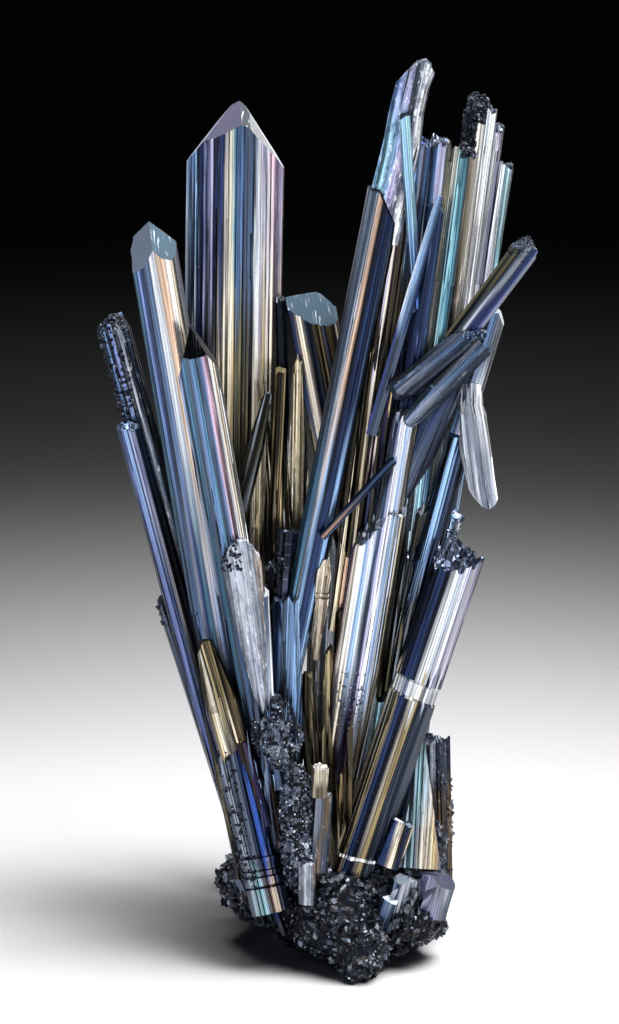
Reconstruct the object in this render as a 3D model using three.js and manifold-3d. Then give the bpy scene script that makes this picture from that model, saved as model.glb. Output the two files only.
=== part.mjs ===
// Stibnite crystal spray: ridged metallic blades that fan out of a dark granular matrix, which is
// cut off flat underneath. Millimetres, +Z up, +X to the right, -Y to the front.
import * as THREE from "three";
import { mergeVertices } from "three/addons/utils/BufferGeometryUtils.js";
import Module from "manifold-3d";

const wasm = await Module();
wasm.setup();

// Driving dimensions.
const CONTACT_GAP = 0.3; // between a crystal and the neighbour that it grew against
const SLIM_WIDTH = 5; // prisms under this width have few sides
const BROAD_WIDTH = 9; // prisms from this width on have many
const SECTION_SIDES = { slim: 6, middling: 9, broad: 12 };
const SQUARENESS = 2.5; // power of the section's outline: 2 is an ellipse, more is boxier
const RIDGE_SHARE = 0.07; // height of the ridges along a prism, as a share of its half width
const CUTTER_EDGE = 500; // edge of the box that cuts a facet or the underside
const LUMP_ROUGHNESS = 0.16; // how uneven a lump of matrix is, as a share of its radius
const LUMP_DETAIL = 1; // subdivisions of a lump's icosahedron

// Finishes.
const FINISHES = {
  blue_steel: new THREE.MeshStandardMaterial({ color: 0x6f82a6, roughness: 0.28, metalness: 0.9 }),
  pale_steel: new THREE.MeshStandardMaterial({ color: 0xb9bfce, roughness: 0.3, metalness: 0.85 }),
  gold_steel: new THREE.MeshStandardMaterial({ color: 0xa3926f, roughness: 0.3, metalness: 0.9 }),
  dark_steel: new THREE.MeshStandardMaterial({ color: 0x2c3240, roughness: 0.35, metalness: 0.8 }),
  crust: new THREE.MeshStandardMaterial({ color: 0x83868c, roughness: 0.6, metalness: 0.5 }),
  rock: new THREE.MeshStandardMaterial({ color: 0x1d1f27, roughness: 0.7, metalness: 0.4 }),
};

// Terminations: facets that cut a prism's top, each as [direction it faces round the axis, slope
// from level, distance below the apex], in degrees and millimetres. 0 faces right, -90 the front.
const SHARP_POINT = [
  [-122, 46, 2.2], [-32, 56, 0], [-68, 43, 1.85], [180, 52, 0], [0, 57, 0], [122, 43, 0], [32, 56, 0],
];
const EDGED_POINT = [[-138, 62, 0], [-48, 58, 0], [10, 46, 0], [100, 48, 0]];
const STEEP_POINT = [[-160, 62, 0], [-72, 64, 0], [10, 46, 0], [100, 48, 0]];
const CHISEL_FRONT = [[-90, 54, 0], [180, 68, 1], [0, 64, 1], [90, 50, 0]];
const CHISEL_LEFT = [[-165, 56, 0], [-60, 30, 0.5], [60, 30, 0.5]];
const CHISEL_RIGHT = [[-15, 56, 0], [-120, 30, 0.5], [120, 30, 0.5]];
const BROKEN_LEFT = [[-150, 24, 0], [20, 12, 0]];
const BROKEN_RIGHT = [[-30, 26, 0], [150, 14, 0]];
const SQUARE_END = [[-80, 6, 0]];
const ROUND_END = [[180, 55, -1], [0, 55, -1], [180, 28, -0.2], [0, 28, -0.2], [-90, 22, -0.3]];

// Outlines along a prism, foot to tip: [share of the length, size, shift right, shift back].
const STRAIGHT = [[0, 1, 0, 0], [1, 1, 0, 0]];
const NARROW_FOOT = [[0, 0.45, 0, 0], [0.42, 1, 0, 0], [1, 1, 0, 0]];
const SLIM_FOOT = [[0, 0.7, 0, 0], [0.4, 1, 0, 0], [1, 1, 0, 0]];
const WEDGE_FOOT = [[0, 0.22, 0, 0], [0.55, 0.8, 0, 0], [0.85, 1, 0, 0], [1, 0.85, 0, 0]];
const LEAF = [[0, 0.45, 0, 0], [0.3, 0.95, 0, 0], [0.65, 1, 0, 0], [1, 0.4, 0, 0]];
const THORN = [[0, 1, 0, 0], [1, 0.12, 0, 0]];
const SPIKE = [[0, 1, 0, 0], [0.5, 0.95, 0, 0], [1, 0.3, 0, 0]];
const SLIM_TIP = [[0, 1, 0, 0], [0.6, 1, 0, 0], [1, 0.6, 0, 0]];
const HOOK = [
  [0, 1, 0, 0], [0.25, 1, 0, 0], [0.53, 0.95, 0.8, 0], [0.71, 0.86, 0.5, 0], [0.85, 0.84, 0.9, 0],
  [1, 0.74, 2.8, 0],
];
const DROOP = [
  [0, 0.75, 0, 0], [0.25, 0.95, 0.7, 0], [0.55, 1, 1, 0], [0.82, 0.9, 0.5, 0], [1, 0.62, -0.6, 0],
];

// The crystals, the ones that were there first before those that grew against them. Feet and tips
// are the ends of a prism's axis. roll turns a prism about its axis. apex shifts its top point.
const FRONT_AND_TALL = [
  {
    name: "tall_sword_crystal", finish: "blue_steel", foot: [-25, 6, 52], tip: [-21.5, 14, 229.8],
    width: 27, depth: 11, outline: NARROW_FOOT, top: SHARP_POINT, apex: [0.5, 0],
  },
  {
    name: "dark_tip_spear", finish: "blue_steel", foot: [-10, -15, 28], tip: [-33.5, -14, 176],
    width: 11.5, depth: 10, outline: SLIM_FOOT, top: CHISEL_FRONT, apex: [-0.5, 2.5],
  },
  {
    name: "left_spear_crystal", finish: "blue_steel", foot: [-18, -7, 25], tip: [-44.5, -2, 199],
    width: 13, depth: 10, outline: SLIM_FOOT, top: EDGED_POINT, apex: [0, 1],
  },
  {
    name: "long_front_blade", finish: "blue_steel", foot: [-12, -15, 60], tip: [17.5, -2, 209],
    width: 9.5, depth: 8, outline: SLIM_FOOT, top: CHISEL_RIGHT, apex: [-2, 0],
  },
  {
    name: "right_column_crystal", finish: "pale_steel", foot: [7, -25, 17], tip: [38.5, -14, 115],
    width: 14, depth: 12, outline: STRAIGHT, top: [[-120, 40, 0], [30, 50, 0.5]], apex: [4, 2], roll: -8,
  },
  {
    name: "cream_column_crystal", finish: "pale_steel", foot: [6, -18, 50], tip: [17.5, -11, 126],
    width: 13.5, depth: 9, outline: SLIM_FOOT, top: CHISEL_LEFT, apex: [3, 0],
    joined: [{ foot: [10, -15, 66], tip: [23.5, -8.5, 150], width: 7, depth: 7, top: BROKEN_LEFT }],
  },
  {
    name: "square_end_crystal", finish: "gold_steel", foot: [-12.6, -31, 16.5], tip: [-26, -16, 72],
    width: 11.5, depth: 10, outline: SLIM_TIP, top: STEEP_POINT,
  },
  {
    name: "golden_front_blade", finish: "gold_steel", foot: [-15, -26, 34], tip: [-31, -15, 89],
    width: 10, depth: 6, outline: LEAF, top: CHISEL_LEFT, roll: 12,
  },
];

const RIGHT_HAND = [
  {
    name: "right_blade_cluster", finish: "blue_steel", foot: [21, -3, 74], tip: [38.5, 3, 218],
    width: 7, depth: 8, outline: SLIM_FOOT, top: BROKEN_RIGHT,
    joined: [
      { foot: [19, 0, 78], tip: [32, 4.5, 220], width: 6, depth: 9, top: BROKEN_LEFT },
      { foot: [22, 1, 84], tip: [35.5, 5.5, 216], width: 4.5, depth: 8, top: CHISEL_LEFT },
      { foot: [25, 2, 80], tip: [42, 8, 231.5], width: 6, depth: 7, top: CHISEL_LEFT },
      { foot: [28, 3, 82], tip: [44.6, 9, 228], width: 5, depth: 9, top: BROKEN_RIGHT, roll: 10 },
      { foot: [31, 4, 90], tip: [47.2, 10, 224], width: 4, depth: 8, top: CHISEL_RIGHT, roll: -12 },
      { foot: [36, 5, 112], tip: [49.8, 10, 212.5], width: 4, depth: 6, top: BROKEN_RIGHT },
    ],
  },
  {
    name: "deep_blue_blade", finish: "blue_steel", foot: [11, -4, 78], tip: [27, 1.5, 221],
    width: 6, depth: 7, outline: SLIM_FOOT, top: CHISEL_LEFT, roll: 8,
  },
  {
    name: "splintered_gold_blade", finish: "gold_steel", foot: [5, -6, 88], tip: [21, -0.5, 206],
    width: 8, depth: 7, outline: SLIM_FOOT, top: BROKEN_LEFT, roll: -10,
  },
  {
    name: "hooked_blade", finish: "pale_steel", foot: [16.5, -3, 194], tip: [24.3, -4.5, 242],
    width: 11, depth: 4.5, outline: HOOK, top: ROUND_END, roll: -6,
  },
  {
    name: "navy_blade", finish: "dark_steel", foot: [19, -8, 116], tip: [31, -4, 205],
    width: 5.5, depth: 4.5, outline: SLIM_FOOT, top: CHISEL_RIGHT,
  },
  {
    name: "leaning_lath", finish: "blue_steel", foot: [26, -6, 176], tip: [22, -8.5, 229],
    width: 3.2, depth: 3, outline: STRAIGHT, top: CHISEL_LEFT, roll: 20,
  },
  {
    name: "pale_lath", finish: "pale_steel", foot: [14, -11.5, 144], tip: [31.5, -9, 207],
    width: 3.4, depth: 3, outline: SLIM_TIP, top: BROKEN_LEFT, roll: -15,
  },
  {
    name: "upper_arm_crystal", finish: "blue_steel", foot: [36.5, -3.5, 167.5], tip: [55.3, -9, 195],
    width: 8.2, depth: 5, outline: STRAIGHT, top: ROUND_END, roll: 25,
  },
  {
    name: "crossing_arm_upper", finish: "dark_steel", foot: [42, -4, 171.5], tip: [19, -15.5, 155],
    width: 7, depth: 4, outline: STRAIGHT, top: CHISEL_LEFT, roll: 15,
  },
  {
    name: "crossing_arm_lower", finish: "dark_steel", foot: [43, -6, 167], tip: [23, -16.5, 148],
    width: 7, depth: 4, outline: SLIM_TIP, top: ROUND_END, roll: 15,
  },
  {
    name: "slanted_blade", finish: "pale_steel", foot: [37.5, -3, 142], tip: [47.5, 0.5, 176],
    width: 6.8, depth: 5, outline: STRAIGHT, top: CHISEL_RIGHT,
  },
  {
    name: "drooping_blade", finish: "pale_steel", foot: [40, -3, 156], tip: [45, -7, 122.5],
    width: 8.8, depth: 3.6, outline: DROOP, top: ROUND_END,
  },
  {
    name: "leaf_blade", finish: "dark_steel", foot: [22, -10.5, 127], tip: [38, -6, 166],
    width: 10, depth: 4, outline: LEAF, top: CHISEL_LEFT, roll: -12,
  },
  {
    name: "blue_flank_blade", finish: "blue_steel", foot: [18, -7, 68], tip: [38.5, -2, 143],
    width: 7.5, depth: 6, outline: SLIM_FOOT, top: CHISEL_RIGHT, roll: -10,
  },
  {
    name: "small_pale_crystal", finish: "pale_steel", foot: [31, 0, 100], tip: [37.5, 2, 119.5],
    width: 5, depth: 5, outline: STRAIGHT, top: CHISEL_LEFT,
  },
  {
    name: "olive_shards", finish: "dark_steel", foot: [21, -5, 82], tip: [28.5, -4, 123],
    width: 4.5, depth: 4, outline: STRAIGHT, top: CHISEL_LEFT,
    joined: [
      { foot: [19, -7, 78], tip: [24.5, -6, 110], width: 4, depth: 4, top: CHISEL_RIGHT, roll: 20 },
      { foot: [23, -5, 80], tip: [31, -3, 127], width: 4, depth: 4, top: CHISEL_RIGHT, roll: -20 },
    ],
  },
  {
    name: "diagonal_rod", finish: "dark_steel", foot: [1, -15.5, 117], tip: [20.5, -14, 138.5],
    width: 2.5, depth: 2.5, outline: STRAIGHT, top: CHISEL_LEFT,
  },
];

const LEFT_HAND = [
  {
    name: "left_edge_blade", finish: "blue_steel", foot: [-20.5, -6, 21], tip: [-51.5, -2, 146],
    width: 6.6, depth: 8, outline: SLIM_FOOT, top: CHISEL_LEFT, apex: [-1, 0], roll: 10,
  },
  {
    name: "crusted_crystal", finish: "crust", foot: [-21, 1, 34], tip: [-55.5, 6, 172],
    width: 9, depth: 8, outline: SLIM_FOOT, top: ROUND_END, roll: -15,
  },
  {
    name: "outer_left_blade", finish: "dark_steel", foot: [-18, 0, 13], tip: [-42.5, 2, 96],
    width: 5.5, depth: 7, outline: STRAIGHT, top: CHISEL_LEFT,
  },
  {
    name: "frosted_blade", finish: "crust", foot: [-14.5, -23, 68], tip: [-21, -20, 118],
    width: 11, depth: 5, outline: WEDGE_FOOT, top: ROUND_END,
  },
  {
    name: "white_spike", finish: "pale_steel", foot: [-13, -22, 72], tip: [-14.5, -20.5, 105],
    width: 3, depth: 3, outline: STRAIGHT, top: STEEP_POINT,
  },
  {
    name: "ridged_blue_blade", finish: "blue_steel", foot: [-7.5, -19, 58], tip: [-9, -14, 100],
    width: 8, depth: 6, outline: STRAIGHT, top: BROKEN_LEFT,
  },
  {
    name: "notched_prism", finish: "gold_steel", foot: [-14, -28, 40], tip: [-20, -23, 62],
    width: 4.5, depth: 4, outline: STRAIGHT, top: SQUARE_END,
  },
];

const IN_THE_GAP = [
  {
    name: "pale_stub_crystal", finish: "pale_steel", foot: [-0.5, -13.5, 82], tip: [0, -12, 110],
    width: 7.5, depth: 5, outline: WEDGE_FOOT, top: SQUARE_END,
  },
  {
    name: "stepped_block_crystal", finish: "dark_steel", foot: [-10, -11, 88], tip: [-8, -8, 117],
    width: 6.5, depth: 6, outline: STRAIGHT, top: SQUARE_END,
    joined: [{ foot: [-12, -10, 88], tip: [-11.5, -8, 108], width: 5, depth: 5, top: BROKEN_LEFT }],
  },
  {
    name: "scratched_back_crystal", finish: "gold_steel", foot: [13, 0, 96], tip: [-2.5, 8, 178],
    width: 14, depth: 8, outline: SLIM_FOOT, top: [[-70, 52, 0], [100, 30, 0]], apex: [-3, 2], roll: 6,
  },
  {
    name: "pale_gold_crystal", finish: "gold_steel", foot: [-6.5, 0, 92], tip: [-5.4, 3, 162],
    width: 7.5, depth: 5, outline: SPIKE, top: STEEP_POINT,
  },
  {
    name: "gold_band_blade", finish: "gold_steel", foot: [-13, -2, 100], tip: [-10, 1, 160],
    width: 3.4, depth: 5, outline: STRAIGHT, top: CHISEL_LEFT,
  },
  {
    name: "grey_slab", finish: "dark_steel", foot: [-8, 4, 104], tip: [-10, 7, 177],
    width: 3.4, depth: 6, outline: STRAIGHT, top: BROKEN_LEFT,
  },
  {
    name: "thin_dark_blade", finish: "dark_steel", foot: [-24, -6, 108], tip: [-13, -2, 154],
    width: 5, depth: 5, outline: LEAF, top: CHISEL_RIGHT,
  },
];

const AT_THE_BASE = [
  {
    name: "middle_shards", finish: "gold_steel", foot: [3, -19, 26], tip: [3, -12, 86],
    width: 5.5, depth: 5, outline: SLIM_TIP, top: CHISEL_LEFT,
    joined: [
      { foot: [6, -21, 26], tip: [8, -17, 72], width: 5, depth: 5, top: CHISEL_RIGHT, roll: 20 },
      { foot: [0, -20, 26], tip: [-3, -13, 78], width: 5, depth: 5, top: BROKEN_LEFT, roll: -20 },
      { foot: [3, -17, 26], tip: [6, -10, 96], width: 4.5, depth: 5, top: CHISEL_LEFT, roll: 40 },
    ],
  },
  {
    name: "teal_thorn_blade", finish: "blue_steel", foot: [26.5, -26.5, 27], tip: [28.4, -14, 58.5],
    width: 14, depth: 4, outline: THORN, top: SQUARE_END, roll: -14,
  },
  {
    name: "brown_flank_column", finish: "crust", foot: [33, -12, 14], tip: [32, -5, 57],
    width: 8.5, depth: 8, outline: STRAIGHT, top: BROKEN_LEFT,
  },
  {
    name: "leaning_stub_prism", finish: "gold_steel", foot: [18.4, -30, 29], tip: [22.8, -26.5, 40.5],
    width: 6.8, depth: 6, outline: STRAIGHT, top: SQUARE_END,
  },
  {
    name: "tan_prism", finish: "gold_steel", foot: [-0.2, -31, 28], tip: [1.2, -26, 48.5],
    width: 5.5, depth: 5.5, outline: STRAIGHT, top: SQUARE_END, roll: 12,
  },
  {
    name: "cream_cube", finish: "pale_steel", foot: [0, -29, 49], tip: [0.5, -29, 57.5],
    width: 4.6, depth: 5, outline: STRAIGHT, top: SQUARE_END, roll: 20,
  },
  {
    name: "smooth_end_block", finish: "pale_steel", foot: [29.6, -28, 14.5], tip: [32.6, -27.5, 25.5],
    width: 11, depth: 7, outline: STRAIGHT, top: BROKEN_RIGHT, roll: -20,
  },
  {
    name: "tabular_group", finish: "blue_steel", foot: [20, -31, 12], tip: [24, -30, 26],
    width: 8, depth: 5, outline: STRAIGHT, top: BROKEN_LEFT, roll: 30,
    joined: [
      { foot: [17, -32, 12], tip: [19, -33, 22], width: 6, depth: 5, top: BROKEN_RIGHT, roll: -20 },
      { foot: [24, -27, 12], tip: [28, -27, 22], width: 7, depth: 6, top: BROKEN_RIGHT, roll: 15 },
    ],
  },
  {
    name: "grey_foot_blocks", finish: "crust", foot: [-3, -33, 20], tip: [-3, -32, 31.8],
    width: 5, depth: 6, outline: STRAIGHT, top: SQUARE_END,
    joined: [{ foot: [2.2, -33, 22], tip: [2.4, -34, 32.5], width: 3.6, depth: 4.5, top: SQUARE_END }],
  },
];

const AT_THE_BACK = [
  {
    name: "back_tall_blade", finish: "blue_steel", foot: [-12, 10, 24], tip: [-26, 44, 186],
    width: 12, depth: 9, outline: SLIM_FOOT, top: SHARP_POINT, roll: 24,
    joined: [
      { foot: [-15, 12, 24], tip: [-22, 42, 160], width: 6, depth: 7, top: STEEP_POINT, roll: 50 },
      { foot: [-17, 9, 24], tip: [-34, 38, 140], width: 8, depth: 6, top: CHISEL_LEFT, roll: 10 },
    ],
  },
  {
    name: "back_right_blade", finish: "blue_steel", foot: [14, 8, 24], tip: [36, 40, 190],
    width: 13, depth: 8, outline: SLIM_FOOT, top: STEEP_POINT, roll: 200,
    joined: [
      { foot: [19, 9, 24], tip: [42, 38, 165], width: 8, depth: 7, top: CHISEL_RIGHT, roll: 170 },
      { foot: [10, 10, 24], tip: [27, 40, 170], width: 7, depth: 6, top: SHARP_POINT, roll: 220 },
    ],
  },
  {
    name: "back_left_spear", finish: "gold_steel", foot: [-20, 6, 22], tip: [-41, 30, 150],
    width: 11, depth: 9, outline: SLIM_FOOT, top: STEEP_POINT, roll: 150,
  },
  {
    name: "back_middle_prism", finish: "pale_steel", foot: [2, 12, 20], tip: [5, 42, 128],
    width: 13, depth: 10, outline: SLIM_FOOT, top: SHARP_POINT, roll: 185,
    joined: [{ foot: [7, 13, 20], tip: [14, 42, 112], width: 8, depth: 8, top: STEEP_POINT, roll: 160 }],
  },
  {
    name: "back_low_left_crystal", finish: "gold_steel", foot: [-12, 16, 12], tip: [-24, 42, 90],
    width: 10, depth: 8, outline: SLIM_FOOT, top: CHISEL_FRONT, roll: 160,
  },
  {
    name: "back_low_right_crystal", finish: "blue_steel", foot: [20, 12, 16], tip: [31, 37, 104],
    width: 11, depth: 9, outline: SLIM_FOOT, top: CHISEL_FRONT, roll: 200,
    joined: [{ foot: [24, 10, 16], tip: [33, 30, 84], width: 7, depth: 7, top: CHISEL_RIGHT, roll: 170 }],
  },
  {
    name: "back_stub_pair", finish: "pale_steel", foot: [5, 18, 10], tip: [12, 38, 66],
    width: 9, depth: 8, outline: SLIM_FOOT, top: CHISEL_FRONT, roll: 185,
    joined: [{ foot: [8, 18, 10], tip: [3, 34, 48], width: 7, depth: 7, top: STEEP_POINT, roll: 30 }],
  },
];

// Lumps: [centre, radii].
const DRUSE = [
  {
    name: "front_druse", finish: "crust",
    lumps: [[[-11, -23, 64], [6.5, 6, 11]], [[-6, -26, 46], [5, 6.5, 13]], [[-5, -26, 32], [5.5, 8, 12]]],
  },
  {
    name: "matrix_base", finish: "rock",
    lumps: [
      [[6, -8, 15], [24, 25, 24]], [[11, -33, 7], [8, 11, 9]], [[8, -25, 14], [16, 13, 15]],
      [[-13, -14, 19], [14, 13, 13]], [[-21, -10, 19], [5.5, 6, 6.5]], [[27, -11, 20], [10, 14, 18]],
      [[23, -24, 14], [13, 10, 12]], [[7, 10, 12], [25, 18, 18]], [[32, -3, 32], [5, 8, 15]],
    ],
  },
];

// A repeatable stream of numbers from 0 to 1.
function seeded(seed) {
  let state = seed;
  return () => {
    state = (state * 1664525 + 1013904223) % 4294967296;
    return state / 4294967296;
  };
}

// The solid of a closed three.js geometry.
function solidOf(geometry) {
  const bare = geometry.index ? geometry.toNonIndexed() : geometry;
  const positions = new THREE.BufferGeometry();
  positions.setAttribute("position", bare.getAttribute("position"));
  const merged = mergeVertices(positions, 1e-4);
  return new wasm.Manifold(
    new wasm.Mesh({
      numProp: 3,
      vertProperties: merged.getAttribute("position").array,
      triVerts: new Uint32Array(merged.index.array),
    }),
  );
}

// The geometry of a solid, seen from a frame.
function geometryOf(solid, frame) {
  const { vertProperties, triVerts } = solid.getMesh();
  const geometry = new THREE.BufferGeometry();
  geometry.setAttribute("position", new THREE.BufferAttribute(vertProperties, 3));
  geometry.setIndex(new THREE.BufferAttribute(triVerts, 1));
  geometry.applyMatrix4(frame.clone().invert());
  const flat = geometry.toNonIndexed();
  flat.computeVertexNormals();
  return flat;
}

// The frame of a prism: x across it, y to its back, z from its foot to its tip.
function prismFrame({ foot, tip, roll = 0 }) {
  const start = new THREE.Vector3(...foot);
  const along = new THREE.Vector3(...tip).sub(start).normalize();
  const across = new THREE.Vector3(0, 1, 0).cross(along).normalize();
  const back = along.clone().cross(across);
  const frame = new THREE.Matrix4().makeBasis(across, back, along);
  frame.setPosition(start);
  return frame.multiply(new THREE.Matrix4().makeRotationZ(THREE.MathUtils.degToRad(roll)));
}

// A prism's section: a boxy oval with uneven ridges.
function section(width, depth, grow, random) {
  const power = 2 / SQUARENESS;
  const kind = width < SLIM_WIDTH ? "slim" : width < BROAD_WIDTH ? "middling" : "broad";
  const sides = SECTION_SIDES[kind];
  const points = [];
  for (let i = 0; i < sides; i += 1) {
    const angle = ((i + 0.5 + 0.5 * (random() - 0.5)) / sides) * 2 * Math.PI;
    const ridge = 1 - RIDGE_SHARE * random();
    const [c, s] = [Math.cos(angle), Math.sin(angle)];
    const x = Math.sign(c) * Math.abs(c) ** power * ((width / 2) * ridge + grow);
    const y = Math.sign(s) * Math.abs(s) ** power * ((depth / 2) * ridge + grow);
    points.push(new THREE.Vector2(x, y));
  }
  return new THREE.Shape(points);
}

// The box on the far side of a plane through a point.
function boxBeyond(point, normal) {
  const box = new THREE.BoxGeometry(CUTTER_EDGE, CUTTER_EDGE, CUTTER_EDGE);
  const turn = new THREE.Quaternion().setFromUnitVectors(new THREE.Vector3(0, 0, 1), normal);
  const centre = point.clone().addScaledVector(normal, CUTTER_EDGE / 2);
  box.applyMatrix4(new THREE.Matrix4().compose(centre, turn, new THREE.Vector3(1, 1, 1)));
  return solidOf(box);
}

// One crystal: a prism that follows its outline, with its top cut by its facets. grow makes it
// that much larger all round, for cutting the room that it needs out of a neighbour.
function prism(crystal, seed, grow) {
  const { foot, tip, width, depth, outline = STRAIGHT, top, apex = [0, 0] } = crystal;
  const length = new THREE.Vector3(...foot).distanceTo(new THREE.Vector3(...tip));
  const steps = outline.length - 1;
  const shape = section(width, depth, grow, seeded(seed));
  const body = new THREE.ExtrudeGeometry(shape, { depth: steps, steps, bevelEnabled: false });
  const position = body.getAttribute("position");
  for (let i = 0; i < position.count; i += 1) {
    const ring = Math.round(position.getZ(i));
    const [along, size, right, back] = outline[ring];
    const overrun = ring === 0 ? -grow : 0;
    const beyond = ring === steps ? grow : 0;
    position.setXYZ(
      i,
      position.getX(i) * size + right,
      position.getY(i) * size + back,
      along * length + overrun + beyond,
    );
  }
  const last = outline[steps];
  const peak = new THREE.Vector3(apex[0] + last[2], apex[1] + last[3], length);
  let solid = solidOf(body);
  for (const [facing, slope, drop] of top) {
    const [turn, tilt] = [facing, slope].map(THREE.MathUtils.degToRad);
    const level = Math.sin(tilt);
    const normal = new THREE.Vector3(level * Math.cos(turn), level * Math.sin(turn), Math.cos(tilt));
    solid = solid.subtract(boxBeyond(peak.clone().addScaledVector(normal, grow - drop), normal));
  }
  return solid.transform(prismFrame(crystal).elements);
}

// A crystal with all that is joined to it.
function crystalSolid(crystal, seed, grow) {
  let solid = prism(crystal, seed, grow);
  (crystal.joined ?? []).forEach((member, i) => {
    solid = solid.add(prism({ outline: crystal.outline, ...member }, seed + 31 * (i + 1), grow));
  });
  return solid;
}

// A mass of druse or matrix: uneven lumps, joined.
function lumpySolid({ lumps }, seed, grow) {
  const random = seeded(seed);
  const parts = lumps.map(([centre, radii]) => {
    const ball = new THREE.IcosahedronGeometry(1, LUMP_DETAIL);
    const rough = mergeVertices(new THREE.BufferGeometry().setAttribute("position", ball.getAttribute("position")));
    const position = rough.getAttribute("position");
    for (let i = 0; i < position.count; i += 1) {
      const reach = 1 + LUMP_ROUGHNESS * (random() - 0.5) * 2;
      position.setXYZ(
        i,
        centre[0] + position.getX(i) * (radii[0] * reach + grow),
        centre[1] + position.getY(i) * (radii[1] * reach + grow),
        centre[2] + position.getZ(i) * (radii[2] * reach + grow),
      );
    }
    return solidOf(rough);
  });
  return parts.reduce((whole, part) => whole.add(part));
}

// The largest of the bodies that a cut has left.
function largest(solid) {
  return solid.decompose().reduce((best, body) => (body.volume() > best.volume() ? body : best));
}

// Builds every piece, each one cut back from those that were there before it.
function buildSpray() {
  const spray = new THREE.Group();
  const floor = boxBeyond(new THREE.Vector3(0, 0, 0), new THREE.Vector3(0, 0, -1));
  const pieces = [
    FRONT_AND_TALL, RIGHT_HAND, LEFT_HAND, IN_THE_GAP, AT_THE_BASE, DRUSE, AT_THE_BACK,
  ].flat();
  const room = [];
  pieces.forEach((piece, i) => {
    const make = piece.lumps ? lumpySolid : crystalSolid;
    const seed = 101 + 17 * i;
    let solid = make(piece, seed, 0).subtract(floor);
    for (const taken of room) {
      solid = solid.subtract(taken);
    }
    room.push(make(piece, seed, CONTACT_GAP));
    const frame = piece.lumps ? new THREE.Matrix4() : prismFrame(piece);
    const mesh = new THREE.Mesh(geometryOf(largest(solid), frame), FINISHES[piece.finish]);
    frame.decompose(mesh.position, mesh.quaternion, mesh.scale);
    mesh.name = piece.name;
    spray.add(mesh);
  });
  return spray;
}

// The origin is under the middle of the spray, on the cut underside.
const group = new THREE.Group();
const spray = buildSpray();
spray.updateMatrixWorld(true);
const middle = new THREE.Box3().setFromObject(spray, true).getCenter(new THREE.Vector3());
spray.position.set(-middle.x, -middle.y, 0);
group.add(spray);
export default group;
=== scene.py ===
"""Stibnite crystal spray: every crystal, druse and grain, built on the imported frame, in metres."""

import itertools
import logging
import math
import random
from collections.abc import Callable, Sequence
from dataclasses import dataclass, field
from enum import Enum

import bpy
from mathutils import Matrix, Vector, noise


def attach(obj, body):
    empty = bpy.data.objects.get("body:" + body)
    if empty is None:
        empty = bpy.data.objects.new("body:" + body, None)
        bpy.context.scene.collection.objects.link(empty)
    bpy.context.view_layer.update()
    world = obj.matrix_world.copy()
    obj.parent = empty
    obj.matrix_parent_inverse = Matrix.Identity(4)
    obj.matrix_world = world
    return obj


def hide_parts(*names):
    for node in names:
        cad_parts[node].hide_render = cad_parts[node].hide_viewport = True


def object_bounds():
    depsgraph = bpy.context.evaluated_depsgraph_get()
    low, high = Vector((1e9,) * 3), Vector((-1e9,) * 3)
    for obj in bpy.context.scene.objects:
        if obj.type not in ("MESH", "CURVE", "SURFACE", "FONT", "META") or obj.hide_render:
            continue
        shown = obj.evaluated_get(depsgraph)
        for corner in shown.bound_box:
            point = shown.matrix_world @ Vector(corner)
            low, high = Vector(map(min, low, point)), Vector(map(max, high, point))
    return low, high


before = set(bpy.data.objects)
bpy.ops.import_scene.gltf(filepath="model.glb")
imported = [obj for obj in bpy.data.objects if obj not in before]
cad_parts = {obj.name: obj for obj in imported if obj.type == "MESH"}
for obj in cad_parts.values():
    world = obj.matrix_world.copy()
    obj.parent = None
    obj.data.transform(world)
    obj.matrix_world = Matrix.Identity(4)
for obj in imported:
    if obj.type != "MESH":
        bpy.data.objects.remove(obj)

CAD_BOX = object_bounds()
LOG = logging.getLogger("stibnite")

MM = 0.001
RGB = tuple[float, float, float]
Place = tuple[float, float, float]
Stop = tuple[float, RGB]

UP = Vector((0.0, 0.0, 1.0))
RIGHT = Vector((1.0, 0.0, 0.0))
LONG_EDGE = 0.45  # an edge of this share of the longest one runs along the crystal
WIDE_RING = 0.5  # a ring of this share of the widest one shows where a bent crystal's middle is
TOP_SLOPE = 0.3  # a shard's facet that faces up more than this belongs to its top
TINY = 1e-12  # square metres; walls this small have no direction
END_SLOPE = 0.2  # a face that leans more than this towards the axis closes an end
SAME_WAY = 0.995  # two faces whose normals' dot product is over this belong to one end face
MOST_WEIGHT = 1e-6  # square metres; a wall larger than this counts no more at a shared corner
SLIDE = 1.5 * MM  # furthest that an end face's edge moves along the crystal
RING_GAP = 0.7 * MM  # least distance between two rings of a bent crystal's outline
BROAD_FOLD = 3.1 * MM  # width of the slow waves across a wall
FINE_RIDGE = 0.47 * MM  # width of the fine ridges on them
LAST_STRIP = 0.3  # share of a strip that may be left over at a side
MOST_TRIES = 60  # places tried for each grain before a crust is left thinner
SUNK = 0.55  # share of a grain's length that is below the surface it stands on
SLANT = 0.55  # how far grains lean from the surface's normal
SMALL_BIAS = 2.2  # over 1, small grains outnumber large ones
FOOT_CLEAR = 1.5 * MM  # no grain stands on the rock lower than this


# ---- Shader expressions ----


class Blend(Enum):
    """How one colour goes over another."""

    COVER = "MIX"
    DARKEN = "MULTIPLY"
    TINT = "OVERLAY"


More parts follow.
